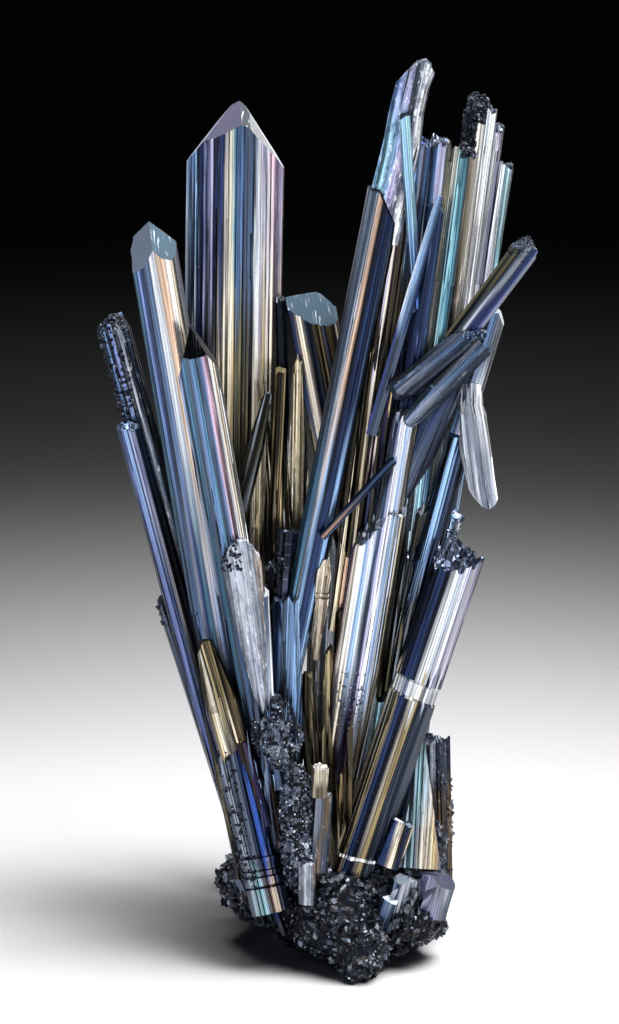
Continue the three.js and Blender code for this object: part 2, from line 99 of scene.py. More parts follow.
class Signal:
    """One output of a shader node, usable in Python expressions."""

    def __init__(self, shader: "Shader", socket: bpy.types.NodeSocket) -> None:
        """Wraps a socket.

        Args:
            shader: The shader that the socket belongs to.
            socket: The output socket.
        """
        self.shader = shader
        self.socket = socket

    def _math(self, operation: str, *operands: "Signal | float") -> "Signal":
        """Adds a Math node.

        Args:
            operation: The Math node's operation.
            operands: Its inputs, in order.

        Returns:
            The node's result.
        """
        return self.shader.node("ShaderNodeMath", {"operation": operation}, dict(enumerate(operands)))

    def __add__(self, other: "Signal | float") -> "Signal":
        """Sum."""
        return self._math("ADD", self, other)

    __radd__ = __add__

    def __sub__(self, other: "Signal | float") -> "Signal":
        """Difference."""
        return self._math("SUBTRACT", self, other)

    def __rsub__(self, other: float) -> "Signal":
        """Difference from a number."""
        return self._math("SUBTRACT", other, self)

    def __mul__(self, other: "Signal | float") -> "Signal":
        """Product."""
        return self._math("MULTIPLY", self, other)

    __rmul__ = __mul__

    def __mod__(self, other: float) -> "Signal":
        """What is left over a multiple of a number."""
        return self._math("WRAP", self, 0.0, other)

    def ramp(self, low: float, high: float) -> "Signal":
        """Rises smoothly from 0 at low to 1 at high.

        Args:
            low: Where the result leaves 0.
            high: Where it reaches 1.

        Returns:
            The smooth step.
        """
        settings = {"interpolation_type": "SMOOTHSTEP"}
        return self.shader.node("ShaderNodeMapRange", settings, {0: self, 1: low, 2: high})


class Shader:
    """A material under construction."""

    def __init__(self, name: str) -> None:
        """Starts an empty material.

        Args:
            name: The material's name.
        """
        self.material = bpy.data.materials.new(name)
        self.material.use_nodes = True
        self.tree = self.material.node_tree
        self.tree.nodes.clear()

    def node(
        self,
        kind: str,
        settings: dict[str, object] | None = None,
        inputs: dict[int | str, object] | None = None,
        output: int | str = 0,
    ) -> Signal:
        """Adds a node.

        Args:
            kind: The node's type.
            settings: Its properties. "stops" fills a colour ramp.
            inputs: Its sockets' values or links, by index or name.
            output: The output wanted.

        Returns:
            That output.
        """
        made = self.tree.nodes.new(kind)
        for key, value in (settings or {}).items():
            if key == "stops":
                self._fill_ramp(made.color_ramp, value)
            else:
                setattr(made, key, value)
        for key, value in (inputs or {}).items():
            if isinstance(value, Signal):
                self.tree.links.new(value.socket, made.inputs[key])
            else:
                made.inputs[key].default_value = value
        return Signal(self, made.outputs[output])

    @staticmethod
    def _fill_ramp(ramp: bpy.types.ColorRamp, stops: Sequence[Stop]) -> None:
        """Sets a colour ramp's stops.

        Args:
            ramp: The ramp.
            stops: Positions and colours, in order.
        """
        while len(ramp.elements) < len(stops):
            ramp.elements.new(1.0)
        for element, (position, colour) in zip(ramp.elements, stops):
            element.position = position
            element.color = (*colour, 1.0)

    def attribute(self, name: str) -> Signal:
        """Reads a number that the mesh carries."""
        return self.node("ShaderNodeAttribute", {"attribute_name": name}, {}, "Fac")

    def gradient(self, factor: Signal, stops: Sequence[Stop]) -> Signal:
        """Colours a factor by a ramp of colours."""
        return self.node("ShaderNodeValToRGB", {"stops": stops}, {0: factor})

    def mix(
        self, factor: Signal | float, a: Signal | RGB, b: Signal | RGB, blend: Blend = Blend.COVER
    ) -> Signal:
        """Mixes two colours.

        Args:
            factor: How much of b.
            a: First colour.
            b: Second colour.
            blend: How b goes over a.

        Returns:
            The mixed colour.
        """
        a, b = [(*c, 1.0) if isinstance(c, tuple) else c for c in (a, b)]
        settings = {"data_type": "RGBA", "blend_type": blend.value}
        return self.node("ShaderNodeMix", settings, {0: factor, 6: a, 7: b}, 2)

    def grey(self, value: Signal) -> Signal:
        """Turns a number into a grey."""
        return self.node("ShaderNodeCombineColor", {}, {0: value, 1: value, 2: value})

    def noise(self, vector: Signal, scale: float, detail: float = 2.0, rough: float = 0.5) -> Signal:
        """Fractal noise from 0 to 1.

        Args:
            vector: Where it is read.
            scale: Cells to a unit of the vector.
            detail: Octaves.
            rough: How much the fine octaves count.

        Returns:
            The noise.
        """
        inputs = {"Vector": vector, "Scale": scale, "Detail": detail, "Roughness": rough}
        return self.node("ShaderNodeTexNoise", {}, inputs)

    def drawn_out(self, along: float, scale: float, detail: float = 2.0, rough: float = 0.5) -> Signal:
        """Noise on the piece's UV, in metres across and along, drawn out along the crystal.

        Args:
            along: Its scale along the crystal, as a share of its scale across.
            scale: Cells to a metre across.
            detail: Octaves.
            rough: How much the fine octaves count.

        Returns:
            The noise.
        """
        uv = self.node("ShaderNodeUVMap", {"uv_map": "grain"})
        place = self.node("ShaderNodeMapping", {}, {"Vector": uv, "Scale": (1.0, along, 1.0)})
        return self.noise(place, scale, detail, rough)

    def surface(self, **sockets: object) -> bpy.types.Material:
        """Ends the material in a Principled shader.

        Args:
            sockets: The shader's sockets, with underscores for spaces.

        Returns:
            The finished material.
        """
        inputs = {name.replace("_", " "): value for name, value in sockets.items()}
        shader = self.node("ShaderNodeBsdfPrincipled", {}, inputs)
        output = self.tree.nodes.new("ShaderNodeOutputMaterial")
        self.tree.links.new(shader.socket, output.inputs["Surface"])
        return self.material


# ---- Finishes ----


def paint(code: str) -> RGB:
    """Turns a screen colour into the linear one that a shader takes.

    Args:
        code: Six hexadecimal digits.

    Returns:
        Linear red, green and blue.
    """
    levels = [int(code[i : i + 2], 16) / 255 for i in (0, 2, 4)]
    return tuple(v / 12.92 if v < 0.04045 else ((v + 0.055) / 1.055) ** 2.4 for v in levels)


BLACK = paint("0b0c12")
INK = paint("171c30")
NAVY = paint("28375c")
INDIGO = paint("3c4679")
ROYAL = paint("3558aa")
STEEL = paint("5f7ba3")
SKY = paint("98bbe4")
TEAL = paint("4f889c")
AQUA = paint("a0d0da")
SLATE = paint("505a6b")
GREY = paint("858b98")
SILVER = paint("bfc5d1")
WHITE = paint("f3f5f9")
PERIWINKLE = paint("7f8dc4")
LILAC = paint("b4b0d2")
PINK = paint("dfb8c6")
PEACH = paint("e9bfa2")
CREAM = paint("e8ddc8")
GOLD = paint("b39f74")
BRONZE = paint("75634a")
BROWN = paint("3c3230")
OLIVE = paint("5f5a42")
PLUM = paint("593a72")
TAN = paint("b5a593")
SEA = paint("42687e")
DUSK = paint("2b343e")
DEEP = paint("1d2a33")


def spread(colours: Sequence[RGB]) -> list[Stop]:
    """Spreads colours evenly over a ramp."""
    return [(i / (len(colours) - 1), colour) for i, colour in enumerate(colours)]


NOWHERE = (0.0, 0.0)
EVERYWHERE = (-1.0, 2.0)
STRIP_SHUFFLE = 7.31  # sends neighbouring tones of the strips to far apart shades


@dataclass(frozen=True)
class Tarnish:
    """The tarnished metallic lustre of a crystal: coloured strips, streaks and patches, partly painted light.

    upper and lower are the colours from side to side near the tip and near the foot, and turn is
    the share of the height over which one becomes the other. Beside tarnish colours they hold
    painted light: white on the lit side as painted highlights, black and navy as painted dark
    reflections. facet runs round the end faces; on an unbroken end each face takes its colour by
    which way it faces, as painted light and shade. Of the strips, a share dark is nearly black as
    painted dark reflections, and those over bright are full as painted highlights. calm is the range
    from side to side where the strips are all alike. jitter shifts a strip's colour sideways, film
    is how strongly thin-film colours lie over it, and mottle how strongly it is blotched.
    """

    name: str
    upper: tuple[RGB, ...]
    lower: tuple[RGB, ...]
    facet: tuple[RGB, ...] = (GREY, SILVER)
    turn: tuple[float, float] = (0.3, 0.65)
    jitter: float = 0.16
    dark: float = 0.30
    bright: float = 0.80
    film: float = 0.25
    rough: float = 0.24
    facet_rough: float = 0.06
    calm: tuple[float, float] = NOWHERE
    mottle: float = 0.0

    def _banding(self, shader: Shader, strip: Signal, clouds: Signal, streaks: Signal) -> Signal:
        """How light each ridge line is: dark strips paint dark reflections, full ones paint highlights, and the
        fine lines darken the bump's grooves as painted shade.

        Args:
            shader: The material's shader.
            strip: The mesh's strips.
            clouds: Slow changes along a strip.
            streaks: Fine lines along a strip.

        Returns:
            A grey to multiply the colour by.
        """
        # deep and low paint dark reflections; high and full paint highlights.
        deep, low, middle = [(v, v, v) for v in (0.05, 0.17, 0.72)]
        high, full = [(v, v, v) for v in (0.95, 1.0)]
        stops = [
            (0.0, deep), (self.dark - 0.06, low), (self.dark + 0.04, middle),
            (self.bright - 0.08, high), (self.bright + 0.06, full),
        ]
        # fades move a strip along its length between painted dark reflection and painted highlight.
        fades = shader.drawn_out(0.03, 900.0, 2.0, 0.6)
        tone = (strip * STRIP_SHUFFLE + (clouds - 0.5) * 0.34 + (fades - 0.5) * 0.5) % 1.0
        # darker where the streaks, which are also the bump's height, run low: painted shade in the fine
        # grooves.
        lines = shader.grey(0.46 + streaks.ramp(0.42, 0.60) * 0.58)
        bands = shader.gradient(tone, stops)
        if self.calm[1] > self.calm[0]:
            across = shader.attribute("across")
            past_low = (across - self.calm[0]).ramp(-0.02, 0.02)
            past_high = (across - self.calm[1]).ramp(-0.02, 0.02)
            bands = shader.mix((past_low - past_high) * 0.8, bands, shader.grey(0.78 + strip * 0.22))
        return shader.mix(1.0, bands, lines, Blend.DARKEN)

    def material(self) -> bpy.types.Material:
        """Builds the material.

        Returns:
            A material that reads the marks which a crystal's mesh carries.
        """
        shader = Shader(self.name)
        strip = shader.attribute("strip")
        facet = shader.attribute("facet")
        streaks = shader.drawn_out(0.006, 2900.0, 3.0, 0.7)
        clouds = shader.drawn_out(0.10, 230.0)
        wear = shader.drawn_out(0.5, 1300.0, 4.0, 0.7)
        place = shader.attribute("across") + (strip - 0.5) * self.jitter + (clouds - 0.5) * 0.15
        turned = (shader.attribute("along") + (clouds - 0.5) * 0.30 + (strip - 0.5) * 0.12).ramp(*self.turn)
        hue = shader.mix(
            turned,
            shader.gradient(place, spread(self.lower)),
            shader.gradient(place, spread(self.upper)),
        )
        film_ramp = [(0.0, ROYAL), (0.25, TEAL), (0.45, STEEL), (0.62, LILAC), (0.78, PEACH), (1.0, ROYAL)]
        film = shader.gradient((clouds * 2.3 + strip * 0.8) % 1.0, film_ramp)
        patches = (clouds - 0.45).ramp(0.0, 0.2) * self.film
        hue = shader.mix(patches, hue, film, Blend.TINT)
        wall = shader.mix(1.0, hue, self._banding(shader, strip, clouds, streaks), Blend.DARKEN)
        scratches = shader.drawn_out(0.12, 1900.0, 2.0, 0.6)
        # End faces take the facet colours; on unbroken ends strip follows which way a face looks, so each facet
        # is painted lit or shaded.
        end = shader.gradient(strip + (clouds - 0.5) * 0.16, spread(self.facet))
        end = shader.mix(scratches.ramp(0.60, 0.72) * 0.35, end, SILVER)
        colour = shader.mix(facet, wall, end)
        seam = shader.attribute("seam")
        # Positive seams are bright healed cracks; negative ones paint shade into the sunk-in crack.
        colour = shader.mix(seam.ramp(0.0, 1.0), colour, WHITE)
        colour = shader.mix((0.0 - seam).ramp(0.0, 1.0), colour, BLACK)
        if self.mottle > 0:
            blots = shader.drawn_out(0.4, 520.0, 4.0, 0.7)
            colour = shader.mix((blots - 0.52).ramp(0.0, 0.06) * self.mottle, colour, INK)
            colour = shader.mix((0.42 - blots).ramp(0.0, 0.05) * self.mottle, colour, WHITE)
        scuffs = (wear - 0.66).ramp(0.0, 0.08)
        colour = shader.mix(scuffs * 0.35, colour, SILVER)
        height = streaks * (1.0 - facet * 0.85) + scuffs * 0.3
        bump = shader.node("ShaderNodeBump", {}, {"Strength": 0.5, "Distance": 0.0001, "Height": height})
        return shader.surface(
            Base_Color=colour,
            Metallic=0.88,
            Roughness=self.rough + (wear - 0.5) * 0.16 + scuffs * 0.2 + facet * self.facet_rough,
            Normal=bump,
        )


@dataclass(frozen=True)
class GranularRock:
    """Dark sulphide rock or druse made of small bright-edged grains, with painted glints."""

    name: str
    colours: tuple[RGB, ...]
    rough: float = 0.34

    def material(self) -> bpy.types.Material:
        """Builds the material.

        Returns:
            A material that reads the grains' own tone, whose lightest end is painted glints, with fine speckle
            on Object coordinates and silver specks painted as glints.
        """
        shader = Shader(self.name)
        place = shader.node("ShaderNodeTexCoord", {}, {}, "Object")
        coarse = shader.noise(place, 110.0, 4.0, 0.65)
        fine = shader.noise(place, 1500.0, 4.0, 0.7)
        tone = shader.attribute("strip") + (coarse - 0.5) * 0.5
        base = shader.gradient(tone, spread(self.colours))
        base = shader.mix(fine.ramp(0.3, 0.7), base, shader.mix(0.55, base, BLACK))
        # Silver specks: painted glints.
        base = shader.mix((fine - 0.68).ramp(0.0, 0.05) * 0.6, base, SILVER)
        bump = shader.node("ShaderNodeBump", {}, {"Strength": 0.5, "Distance": 0.00025, "Height": fine})
        return shader.surface(
            Base_Color=base,
            Metallic=0.82,
            Roughness=self.rough + (fine - 0.5) * 0.3 + (coarse - 0.5) * 0.3,
            Normal=bump,
        )


# Besides tarnish and thin-film colours, these ramps hold painted light: whites on the lit side are painted
# highlights, blacks and navies painted dark reflections, and each facet ramp gives an end face a lit or shaded
# tone by which way it faces.
SWORD = Tarnish(
    "sword_tarnish",
    upper=(SILVER, STEEL, SKY, INK, NAVY, LILAC, INK, NAVY, INDIGO, CREAM, TEAL, STEEL, NAVY, SLATE,
           STEEL, WHITE, LILAC, WHITE, PINK, LILAC, PEACH),
    lower=(INK, BLACK, CREAM, BLACK, BLACK, GREY, BLACK, CREAM, GOLD, CREAM, GOLD, OLIVE, BLACK, OLIVE,
           BROWN, CREAM, GOLD, CREAM, TAN, CREAM, GOLD),
    facet=(LILAC,) * 6 + (GREY, BLACK, BLACK) + (WHITE,) * 4, turn=(0.58, 0.80), jitter=0.05,
    dark=0.15, bright=0.72, film=0.15,
)
SPEAR = Tarnish(
    "left_spear_tarnish",
    upper=(AQUA, STEEL, PERIWINKLE, SLATE, STEEL, WHITE, SILVER, TAN, PEACH, WHITE, CREAM, BLACK, WHITE),
    lower=(STEEL, SLATE, STEEL, GREY, INDIGO, SEA, SLATE, GREY, STEEL, NAVY, SLATE, SEA, NAVY),
    facet=(GREY, GREY, DEEP, DEEP), turn=(0.40, 0.70), jitter=0.04, dark=0.10, bright=0.76, film=0.12,
    calm=(0.08, 0.45),
)
DARK_TIP = Tarnish(
    "dark_tip_tarnish",
    upper=(SILVER, STEEL, SEA, SLATE, STEEL, SEA, SLATE, STEEL, PINK, SILVER, CREAM, WHITE),
    lower=(SEA, NAVY, SEA, SLATE, STEEL, SLATE, NAVY, GREY, INDIGO, NAVY, SLATE, SEA),
    facet=(BLACK, BLACK, INK), turn=(0.35, 0.65), jitter=0.05, dark=0.16,
)
LEFT_EDGE = Tarnish(
    "left_edge_tarnish",
    upper=(SKY, PERIWINKLE, SKY, LILAC, SLATE, NAVY),
    lower=(STEEL, NAVY, PERIWINKLE, NAVY, SLATE, BRONZE, NAVY),
    facet=(SLATE, SKY), turn=(0.55, 0.9), jitter=0.12, dark=0.2,
)
CRUSTED = Tarnish(
    "crusted_tarnish",
    upper=(SLATE, STEEL, PERIWINKLE, SILVER, SLATE, GREY),
    lower=(BLACK, GOLD, BLACK, BROWN, SLATE, BLACK),
    facet=(INK, BLACK), turn=(0.5, 0.8), dark=0.3, mottle=0.3,
)
LONG_BLADE = Tarnish(
    "long_blade_tarnish",
    upper=(SLATE, GREY, SLATE, SLATE, SILVER, PEACH, BLACK, INK, NAVY, NAVY, INK, STEEL, BLACK),
    lower=(STEEL, TEAL, STEEL, TEAL, SILVER, SKY, INK, NAVY, NAVY, STEEL, SKY, NAVY, SLATE),
    facet=(SLATE, INK), turn=(0.40, 0.62), jitter=0.05, dark=0.12, film=0.1, calm=(-1.0, 0.30),
)
RIGHT_COLUMN = Tarnish(
    "right_column_tarnish",
    upper=(INK, NAVY, INK, NAVY, NAVY, INK, WHITE, WHITE, SILVER, WHITE, LILAC, WHITE, LILAC, WHITE),
    lower=(CREAM, BLACK, GOLD, NAVY, NAVY, NAVY, CREAM, GOLD, BLACK, SLATE, INK, SLATE, SLATE, BLACK),
    facet=(INK, SLATE), turn=(0.58, 0.61), jitter=0.05, dark=0.2, bright=0.74, film=0.06, calm=(0.50, 0.95),
)
CREAM_COLUMN = Tarnish(
    "cream_column_tarnish",
    upper=(PINK, CREAM, WHITE, SKY, WHITE, STEEL, LILAC, WHITE, SKY, SILVER, CREAM, OLIVE),
    lower=(OLIVE, BROWN, CREAM, BROWN, SLATE, PLUM, BROWN, GREY, OLIVE, BROWN, INK, OLIVE),
    facet=(SLATE, GREY), turn=(0.16, 0.34), jitter=0.10, dark=0.16, bright=0.80,
)
CLUSTER = Tarnish(
    "cluster_tarnish",
    upper=(STEEL, SKY, LILAC, SILVER, CREAM, AQUA, TEAL, BROWN, CREAM, WHITE, WHITE, WHITE, LILAC,
           WHITE, AQUA, WHITE),
    lower=(NAVY, STEEL, SKY, STEEL, SILVER, AQUA, SKY, TEAL, CREAM, SKY, LILAC, WHITE, LILAC, SKY,
           SILVER, AQUA),
    facet=(GREY, SLATE, INK), turn=(0.25, 0.6), jitter=0.04, dark=0.04, bright=0.52, film=0.08,
    calm=(0.54, 0.95),
)
DEEP_BLUE = Tarnish(
    "deep_blue_tarnish",
    upper=(NAVY, STEEL, SKY, LILAC, STEEL, SLATE),
    lower=(INK, NAVY, STEEL, NAVY, SLATE, NAVY),
    facet=(INK, NAVY), dark=0.2,
)
SPLINTERY = Tarnish(
    "splintery_tarnish",
    upper=(BLACK, CREAM, GOLD, BLACK, LILAC, CREAM, PLUM, GOLD, BLACK),
    lower=(BLACK, CREAM, GOLD, BLACK, PEACH, BLACK, INDIGO, CREAM, BLACK),
    facet=(BLACK, OLIVE), jitter=0.3, dark=0.34, bright=0.66,
)
HOOKED = Tarnish(
    "hooked_tarnish",
    upper=(SKY, SKY, LILAC, SLATE, SILVER, WHITE, SILVER),
    lower=(SKY, AQUA, SKY, LILAC, SLATE, WHITE, SILVER),
    facet=(GREY, SLATE), turn=(0.60, 0.85), jitter=0.15, dark=0.16, rough=0.3, mottle=0.55,
)
LATH = Tarnish(
    "lath_tarnish",
    upper=(AQUA, SKY, AQUA, STEEL),
    lower=(SKY, STEEL, ROYAL, PLUM),
    facet=(SLATE, INK), turn=(0.2, 0.6), dark=0.08, bright=0.7, film=0.1, calm=EVERYWHERE,
)
PALE_LATH = Tarnish(
    "pale_lath_tarnish",
    upper=(WHITE, SKY, NAVY, NAVY),
    lower=(INDIGO, SLATE, SLATE, DUSK),
    facet=(SKY, SILVER), turn=(0.42, 0.52), dark=0.08, bright=0.6,
)
NAVY_BLADE = Tarnish(
    "navy_blade_tarnish",
    upper=(NAVY, NAVY, INK, NAVY, STEEL),
    lower=(NAVY, BLACK, INDIGO, INK, STEEL),
    facet=(INK, NAVY), dark=0.2, calm=(-1.0, 0.6),
)
ARM = Tarnish(
    "arm_tarnish",
    upper=(OLIVE, BLACK, OLIVE, BLACK, SLATE, SILVER, SLATE, NAVY, INDIGO, PERIWINKLE, GREY, SILVER),
    lower=(OLIVE, BLACK, DUSK, SLATE, SILVER, NAVY, INDIGO, NAVY, INDIGO, PERIWINKLE, LILAC, SILVER),
    facet=(SLATE, GREY), jitter=0.04, dark=0.16, film=0.06, calm=EVERYWHERE,
)
SLATE_ARM = Tarnish(
    "slate_arm_tarnish",
    upper=(SLATE, GREY, SLATE, STEEL, SLATE, INK),
    lower=(SLATE, SLATE, STEEL, GREY, SLATE, INK),
    facet=(SLATE, INK), dark=0.2, bright=0.9, film=0.12, calm=EVERYWHERE, mottle=0.12,
)
WHITE_EDGE = Tarnish(
    "white_edge_tarnish",
    upper=(SLATE, SLATE, STEEL, SLATE, SILVER, WHITE),
    lower=(SLATE, STEEL, GREY, SILVER, WHITE, WHITE),
    facet=(SILVER, WHITE), jitter=0.05, dark=0.14, bright=0.6, calm=(-1.0, 0.7),
)
DROOPING = Tarnish(
    "drooping_tarnish",
    upper=(WHITE, SILVER, GREY, GREY, SILVER, WHITE, WHITE),
    lower=(WHITE, SILVER, GREY, SILVER, SLATE, GREY, SILVER, WHITE),
    facet=(SILVER, WHITE), jitter=0.08, dark=0.08, bright=0.78, rough=0.3, mottle=0.12,
)
LEAF_BLUE = Tarnish(
    "leaf_blue_tarnish",
    upper=(SLATE, INK, SLATE, NAVY, SLATE, INK),
    lower=(INK, NAVY, INK, SLATE, INK, NAVY),
    facet=(SLATE, STEEL), jitter=0.3, dark=0.35, bright=0.92, film=0.1, calm=(-1.0, 0.6),
)
FLANK_BLUE = Tarnish(
    "flank_blue_tarnish",
    upper=(NAVY, STEEL, SKY, NAVY, SLATE, SLATE),
    lower=(NAVY, STEEL, SLATE, NAVY, SLATE, STEEL),
    facet=(STEEL, SLATE), jitter=0.06, dark=0.2, bright=0.9,
)
PALE = Tarnish(
    "pale_tarnish",
    upper=(SILVER, WHITE, SKY, GREY, WHITE),
    lower=(CREAM, SILVER, GREY, WHITE, SKY),
    facet=(WHITE, SKY), dark=0.15, bright=0.7, mottle=0.3,
)
CREAMY = Tarnish(
    "creamy_tarnish",
    upper=(CREAM, TAN, CREAM, TAN, CREAM),
    lower=(CREAM, TAN, OLIVE, TAN, OLIVE),
    facet=(CREAM, GREY), jitter=0.3, dark=0.1, bright=0.9, film=0.1, rough=0.34, calm=EVERYWHERE, mottle=0.18,
)
OLIVE_SHARD = Tarnish(
    "olive_shard_tarnish",
    upper=(OLIVE, GREY, BLACK, OLIVE, SILVER, BLACK),
    lower=(BLACK, OLIVE, BLACK, GREY, BLACK, OLIVE),
    facet=(GREY, BLACK), jitter=0.4, dark=0.35,
)
ROD = Tarnish(
    "rod_tarnish",
    upper=(NAVY, INK, STEEL, INK, NAVY),
    lower=(INK, NAVY, PEACH, BLACK, STEEL),
    facet=(INK, STEEL), dark=0.25,
)
INKY = Tarnish(
    "inky_tarnish",
    upper=(INK, SLATE, BLACK, NAVY, INK),
    lower=(BLACK, INK, SLATE, PLUM, BLACK),
    facet=(SLATE, BLACK), jitter=0.3, dark=0.4, bright=0.93,
)
FROSTED = Tarnish(
    "frosted_tarnish",
    upper=(GREY, SILVER, SILVER, GREY, TAN),
    lower=(SLATE, GREY, SILVER, GREY, SLATE),
    facet=(SILVER, GREY), jitter=0.2, dark=0.12, bright=0.92, film=0.15, rough=0.42, calm=EVERYWHERE,
    mottle=0.35,
)
RIDGED_BLUE = Tarnish(
    "ridged_blue_tarnish",
    upper=(STEEL, NAVY, SKY, STEEL, SKY, SLATE),
    lower=(NAVY, STEEL, SLATE, NAVY, STEEL, INK),
    facet=(INK, SLATE), dark=0.25,
)
SCRATCHED = Tarnish(
    "scratched_tarnish",
    upper=(INK, NAVY, CREAM, NAVY, BLACK, GOLD, NAVY, GOLD, BLACK, CREAM),
    lower=(GOLD, BLACK, BRONZE, BLACK, GOLD, BLACK, GOLD, NAVY, BLACK, BRONZE),
    facet=(BLACK, DEEP, DEEP, BLACK), jitter=0.08, dark=0.26, facet_rough=0.26,
)
PALE_GOLD = Tarnish(
    "pale_gold_tarnish",
    upper=(OLIVE, CREAM, GOLD, CREAM, OLIVE),
    lower=(OLIVE, GOLD, BLACK, CREAM, BROWN),
    facet=(CREAM, BRONZE), jitter=0.3, dark=0.2, rough=0.32, mottle=0.3,
)
GOLD_BAND = Tarnish(
    "gold_band_tarnish",
    upper=(GOLD, BRONZE, BLACK, GOLD),
    lower=(BRONZE, NAVY, GOLD, BLACK),
    facet=(GOLD, BLACK), dark=0.3,
)
GOLD_FRONT = Tarnish(
    "gold_front_tarnish",
    upper=(BLACK, OLIVE, CREAM, GOLD, BLACK, BRONZE, BLACK),
    lower=(INDIGO, GOLD, CREAM, BLACK, CREAM, GOLD, BROWN, PLUM),
    facet=(OLIVE, BROWN), jitter=0.12, dark=0.3,
)
VIOLET_BLOCK = Tarnish(
    "violet_block_tarnish",
    upper=(SLATE, GREY, SLATE, SLATE, ROYAL, NAVY, INK),
    lower=(SLATE, GREY, AQUA, GREY, TAN, NAVY, SLATE),
    facet=(SLATE, INK), turn=(0.12, 0.3), jitter=0.10, dark=0.25,
)
BROWN_NOTCH = Tarnish(
    "brown_notch_tarnish",
    upper=(BROWN, BROWN, PLUM, TAN),
    lower=(BLACK, BROWN, INDIGO, PLUM),
    facet=(BROWN, BLACK), dark=0.3,
)
STUB = Tarnish(
    "stub_tarnish",
    upper=(SLATE, NAVY, NAVY, CREAM, TAN, NAVY, INK, CREAM),
    lower=(BLACK, NAVY, NAVY, TAN, CREAM, NAVY, INK, CREAM),
    facet=(SLATE, GREY), jitter=0.05, dark=0.2,
)
TAN_LILAC = Tarnish(
    "tan_lilac_tarnish",
    upper=(SLATE, GREY, SLATE, BRONZE, SLATE),
    lower=(DUSK, SLATE, BRONZE, SLATE, DUSK),
    facet=(SLATE, GREY), dark=0.12, rough=0.36, calm=EVERYWHERE, mottle=0.15,
)
SEA_BLADE = Tarnish(
    "sea_blade_tarnish",
    upper=(GREY, SILVER, GREY, AQUA, SILVER, CREAM, GREY),
    lower=(TEAL, GREY, AQUA, GREY, CREAM, GOLD, GREY),
    facet=(TEAL, SILVER), jitter=0.12, dark=0.06, bright=0.9,
)
BROWN_FLANK = Tarnish(
    "brown_flank_tarnish",
    upper=(SLATE, GREY, SLATE, INK, SLATE),
    lower=(BLACK, BROWN, BROWN, BRONZE, INK),
    facet=(GREY, SLATE), turn=(0.6, 0.75), jitter=0.4, dark=0.3, rough=0.4, mottle=0.3,
)
SMOOTH_BLOCK = Tarnish(
    "smooth_block_tarnish",
    upper=(SLATE, LILAC, GREY, SILVER, SLATE),
    lower=(SLATE, GREY, LILAC, GREY, SLATE),
    facet=(LILAC, SLATE), dark=0.05, bright=0.9, calm=EVERYWHERE,
)
TABULAR = Tarnish(
    "tabular_tarnish",
    upper=(SLATE, STEEL, SILVER, INK, LILAC),
    lower=(INK, STEEL, SLATE, SILVER, NAVY),
    facet=(SLATE, SILVER), jitter=0.3, dark=0.25,
)

# The light colour at the end of each grain ramp paints the glints of the grains' facets.
MATRIX_ROCK = GranularRock("matrix_rock_grains", (BLACK, INK, BLACK, DUSK, BROWN, GREY, BLACK, SLATE, SILVER))
DRUSE_GRAINS = GranularRock("druse_grains", (BLACK, INK, SLATE, GREY, INK, GREY, SLATE, STEEL, WHITE))
CRUST_GRAINS = GranularRock("crust_grains", (BLACK, BLACK, INK, BLACK, SLATE, BLACK, GREY), 0.4)
BLUE_GRAINS = GranularRock("blue_grains", (INK, SLATE, INK, STEEL, BLACK, SKY, SLATE, WHITE), 0.3)

MATERIALS: dict[str, bpy.types.Material] = {}


def material_of(finish: Tarnish | GranularRock) -> bpy.types.Material:
    """The finish's material, made once.

    Args:
        finish: The finish.

    Returns:
        Its material.
    """
    if finish.name not in MATERIALS:
        MATERIALS[finish.name] = finish.material()
    return MATERIALS[finish.name]


def dress(piece: bpy.types.Object, finish: Tarnish | GranularRock) -> bpy.types.Object:
    """Gives a piece its material and its body.

    Args:
        piece: The piece.
        finish: Its finish.

    Returns:
        The piece.
    """
    piece.data.materials.clear()
    piece.data.materials.append(material_of(finish))
    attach(piece, "root")
    return piece


# ---- Crystals ----


def solid_copy(node: str, name: str) -> bpy.types.Object:
    """Copies a CAD node as a clean polygon mesh.

    Args:
        node: The CAD node.
        name: The copy's name.

    Returns:
        The copy, selected and active, in object mode.
    """
    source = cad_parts[node]
    piece = bpy.data.objects.new(name, source.data.copy())
    bpy.context.scene.collection.objects.link(piece)
    bpy.ops.object.select_all(action="DESELECT")
    bpy.context.view_layer.objects.active = piece
    piece.select_set(True)
    bpy.ops.object.mode_set(mode="EDIT")
    bpy.ops.mesh.select_all(action="SELECT")
    bpy.ops.mesh.remove_doubles(threshold=1e-6)
    bpy.ops.mesh.dissolve_limited(angle_limit=math.radians(1.0))
    bpy.ops.object.mode_set(mode="OBJECT")
    return piece


@dataclass
class Axes:
    """A crystal's own directions: across its front, to its back and along it."""

    origin: Vector
    across: Vector
    back: Vector
    along: Vector

    @classmethod
    def of(cls, mesh: bpy.types.Mesh) -> "Axes":
        """Finds a prism's directions from its long edges.

        Args:
            mesh: The prism's mesh.

        Returns:
            Its axes, with the origin in its middle.
        """
        points = [v.co for v in mesh.vertices]
        edges = [points[e.vertices[1]] - points[e.vertices[0]] for e in mesh.edges]
        longest = max(e.length for e in edges)
        along = Vector()
        for edge in edges:
            if edge.length > LONG_EDGE * longest:
                along += edge if edge.dot(UP) > 0 else -edge
        along.normalize()
        across = (RIGHT - along * RIGHT.dot(along)).normalized()
        middle = sum(points, Vector()) / len(points)
        return cls(middle, across, along.cross(across), along)

    def local(self, point: Vector) -> Vector:
        """A point as (across, back, along)."""
        offset = point - self.origin
        return Vector((offset.dot(self.across), offset.dot(self.back), offset.dot(self.along)))

    def world(self, spot: Vector) -> Vector:
        """The point at (across, back, along)."""
        return self.origin + self.across * spot.x + self.back * spot.y + self.along * spot.z


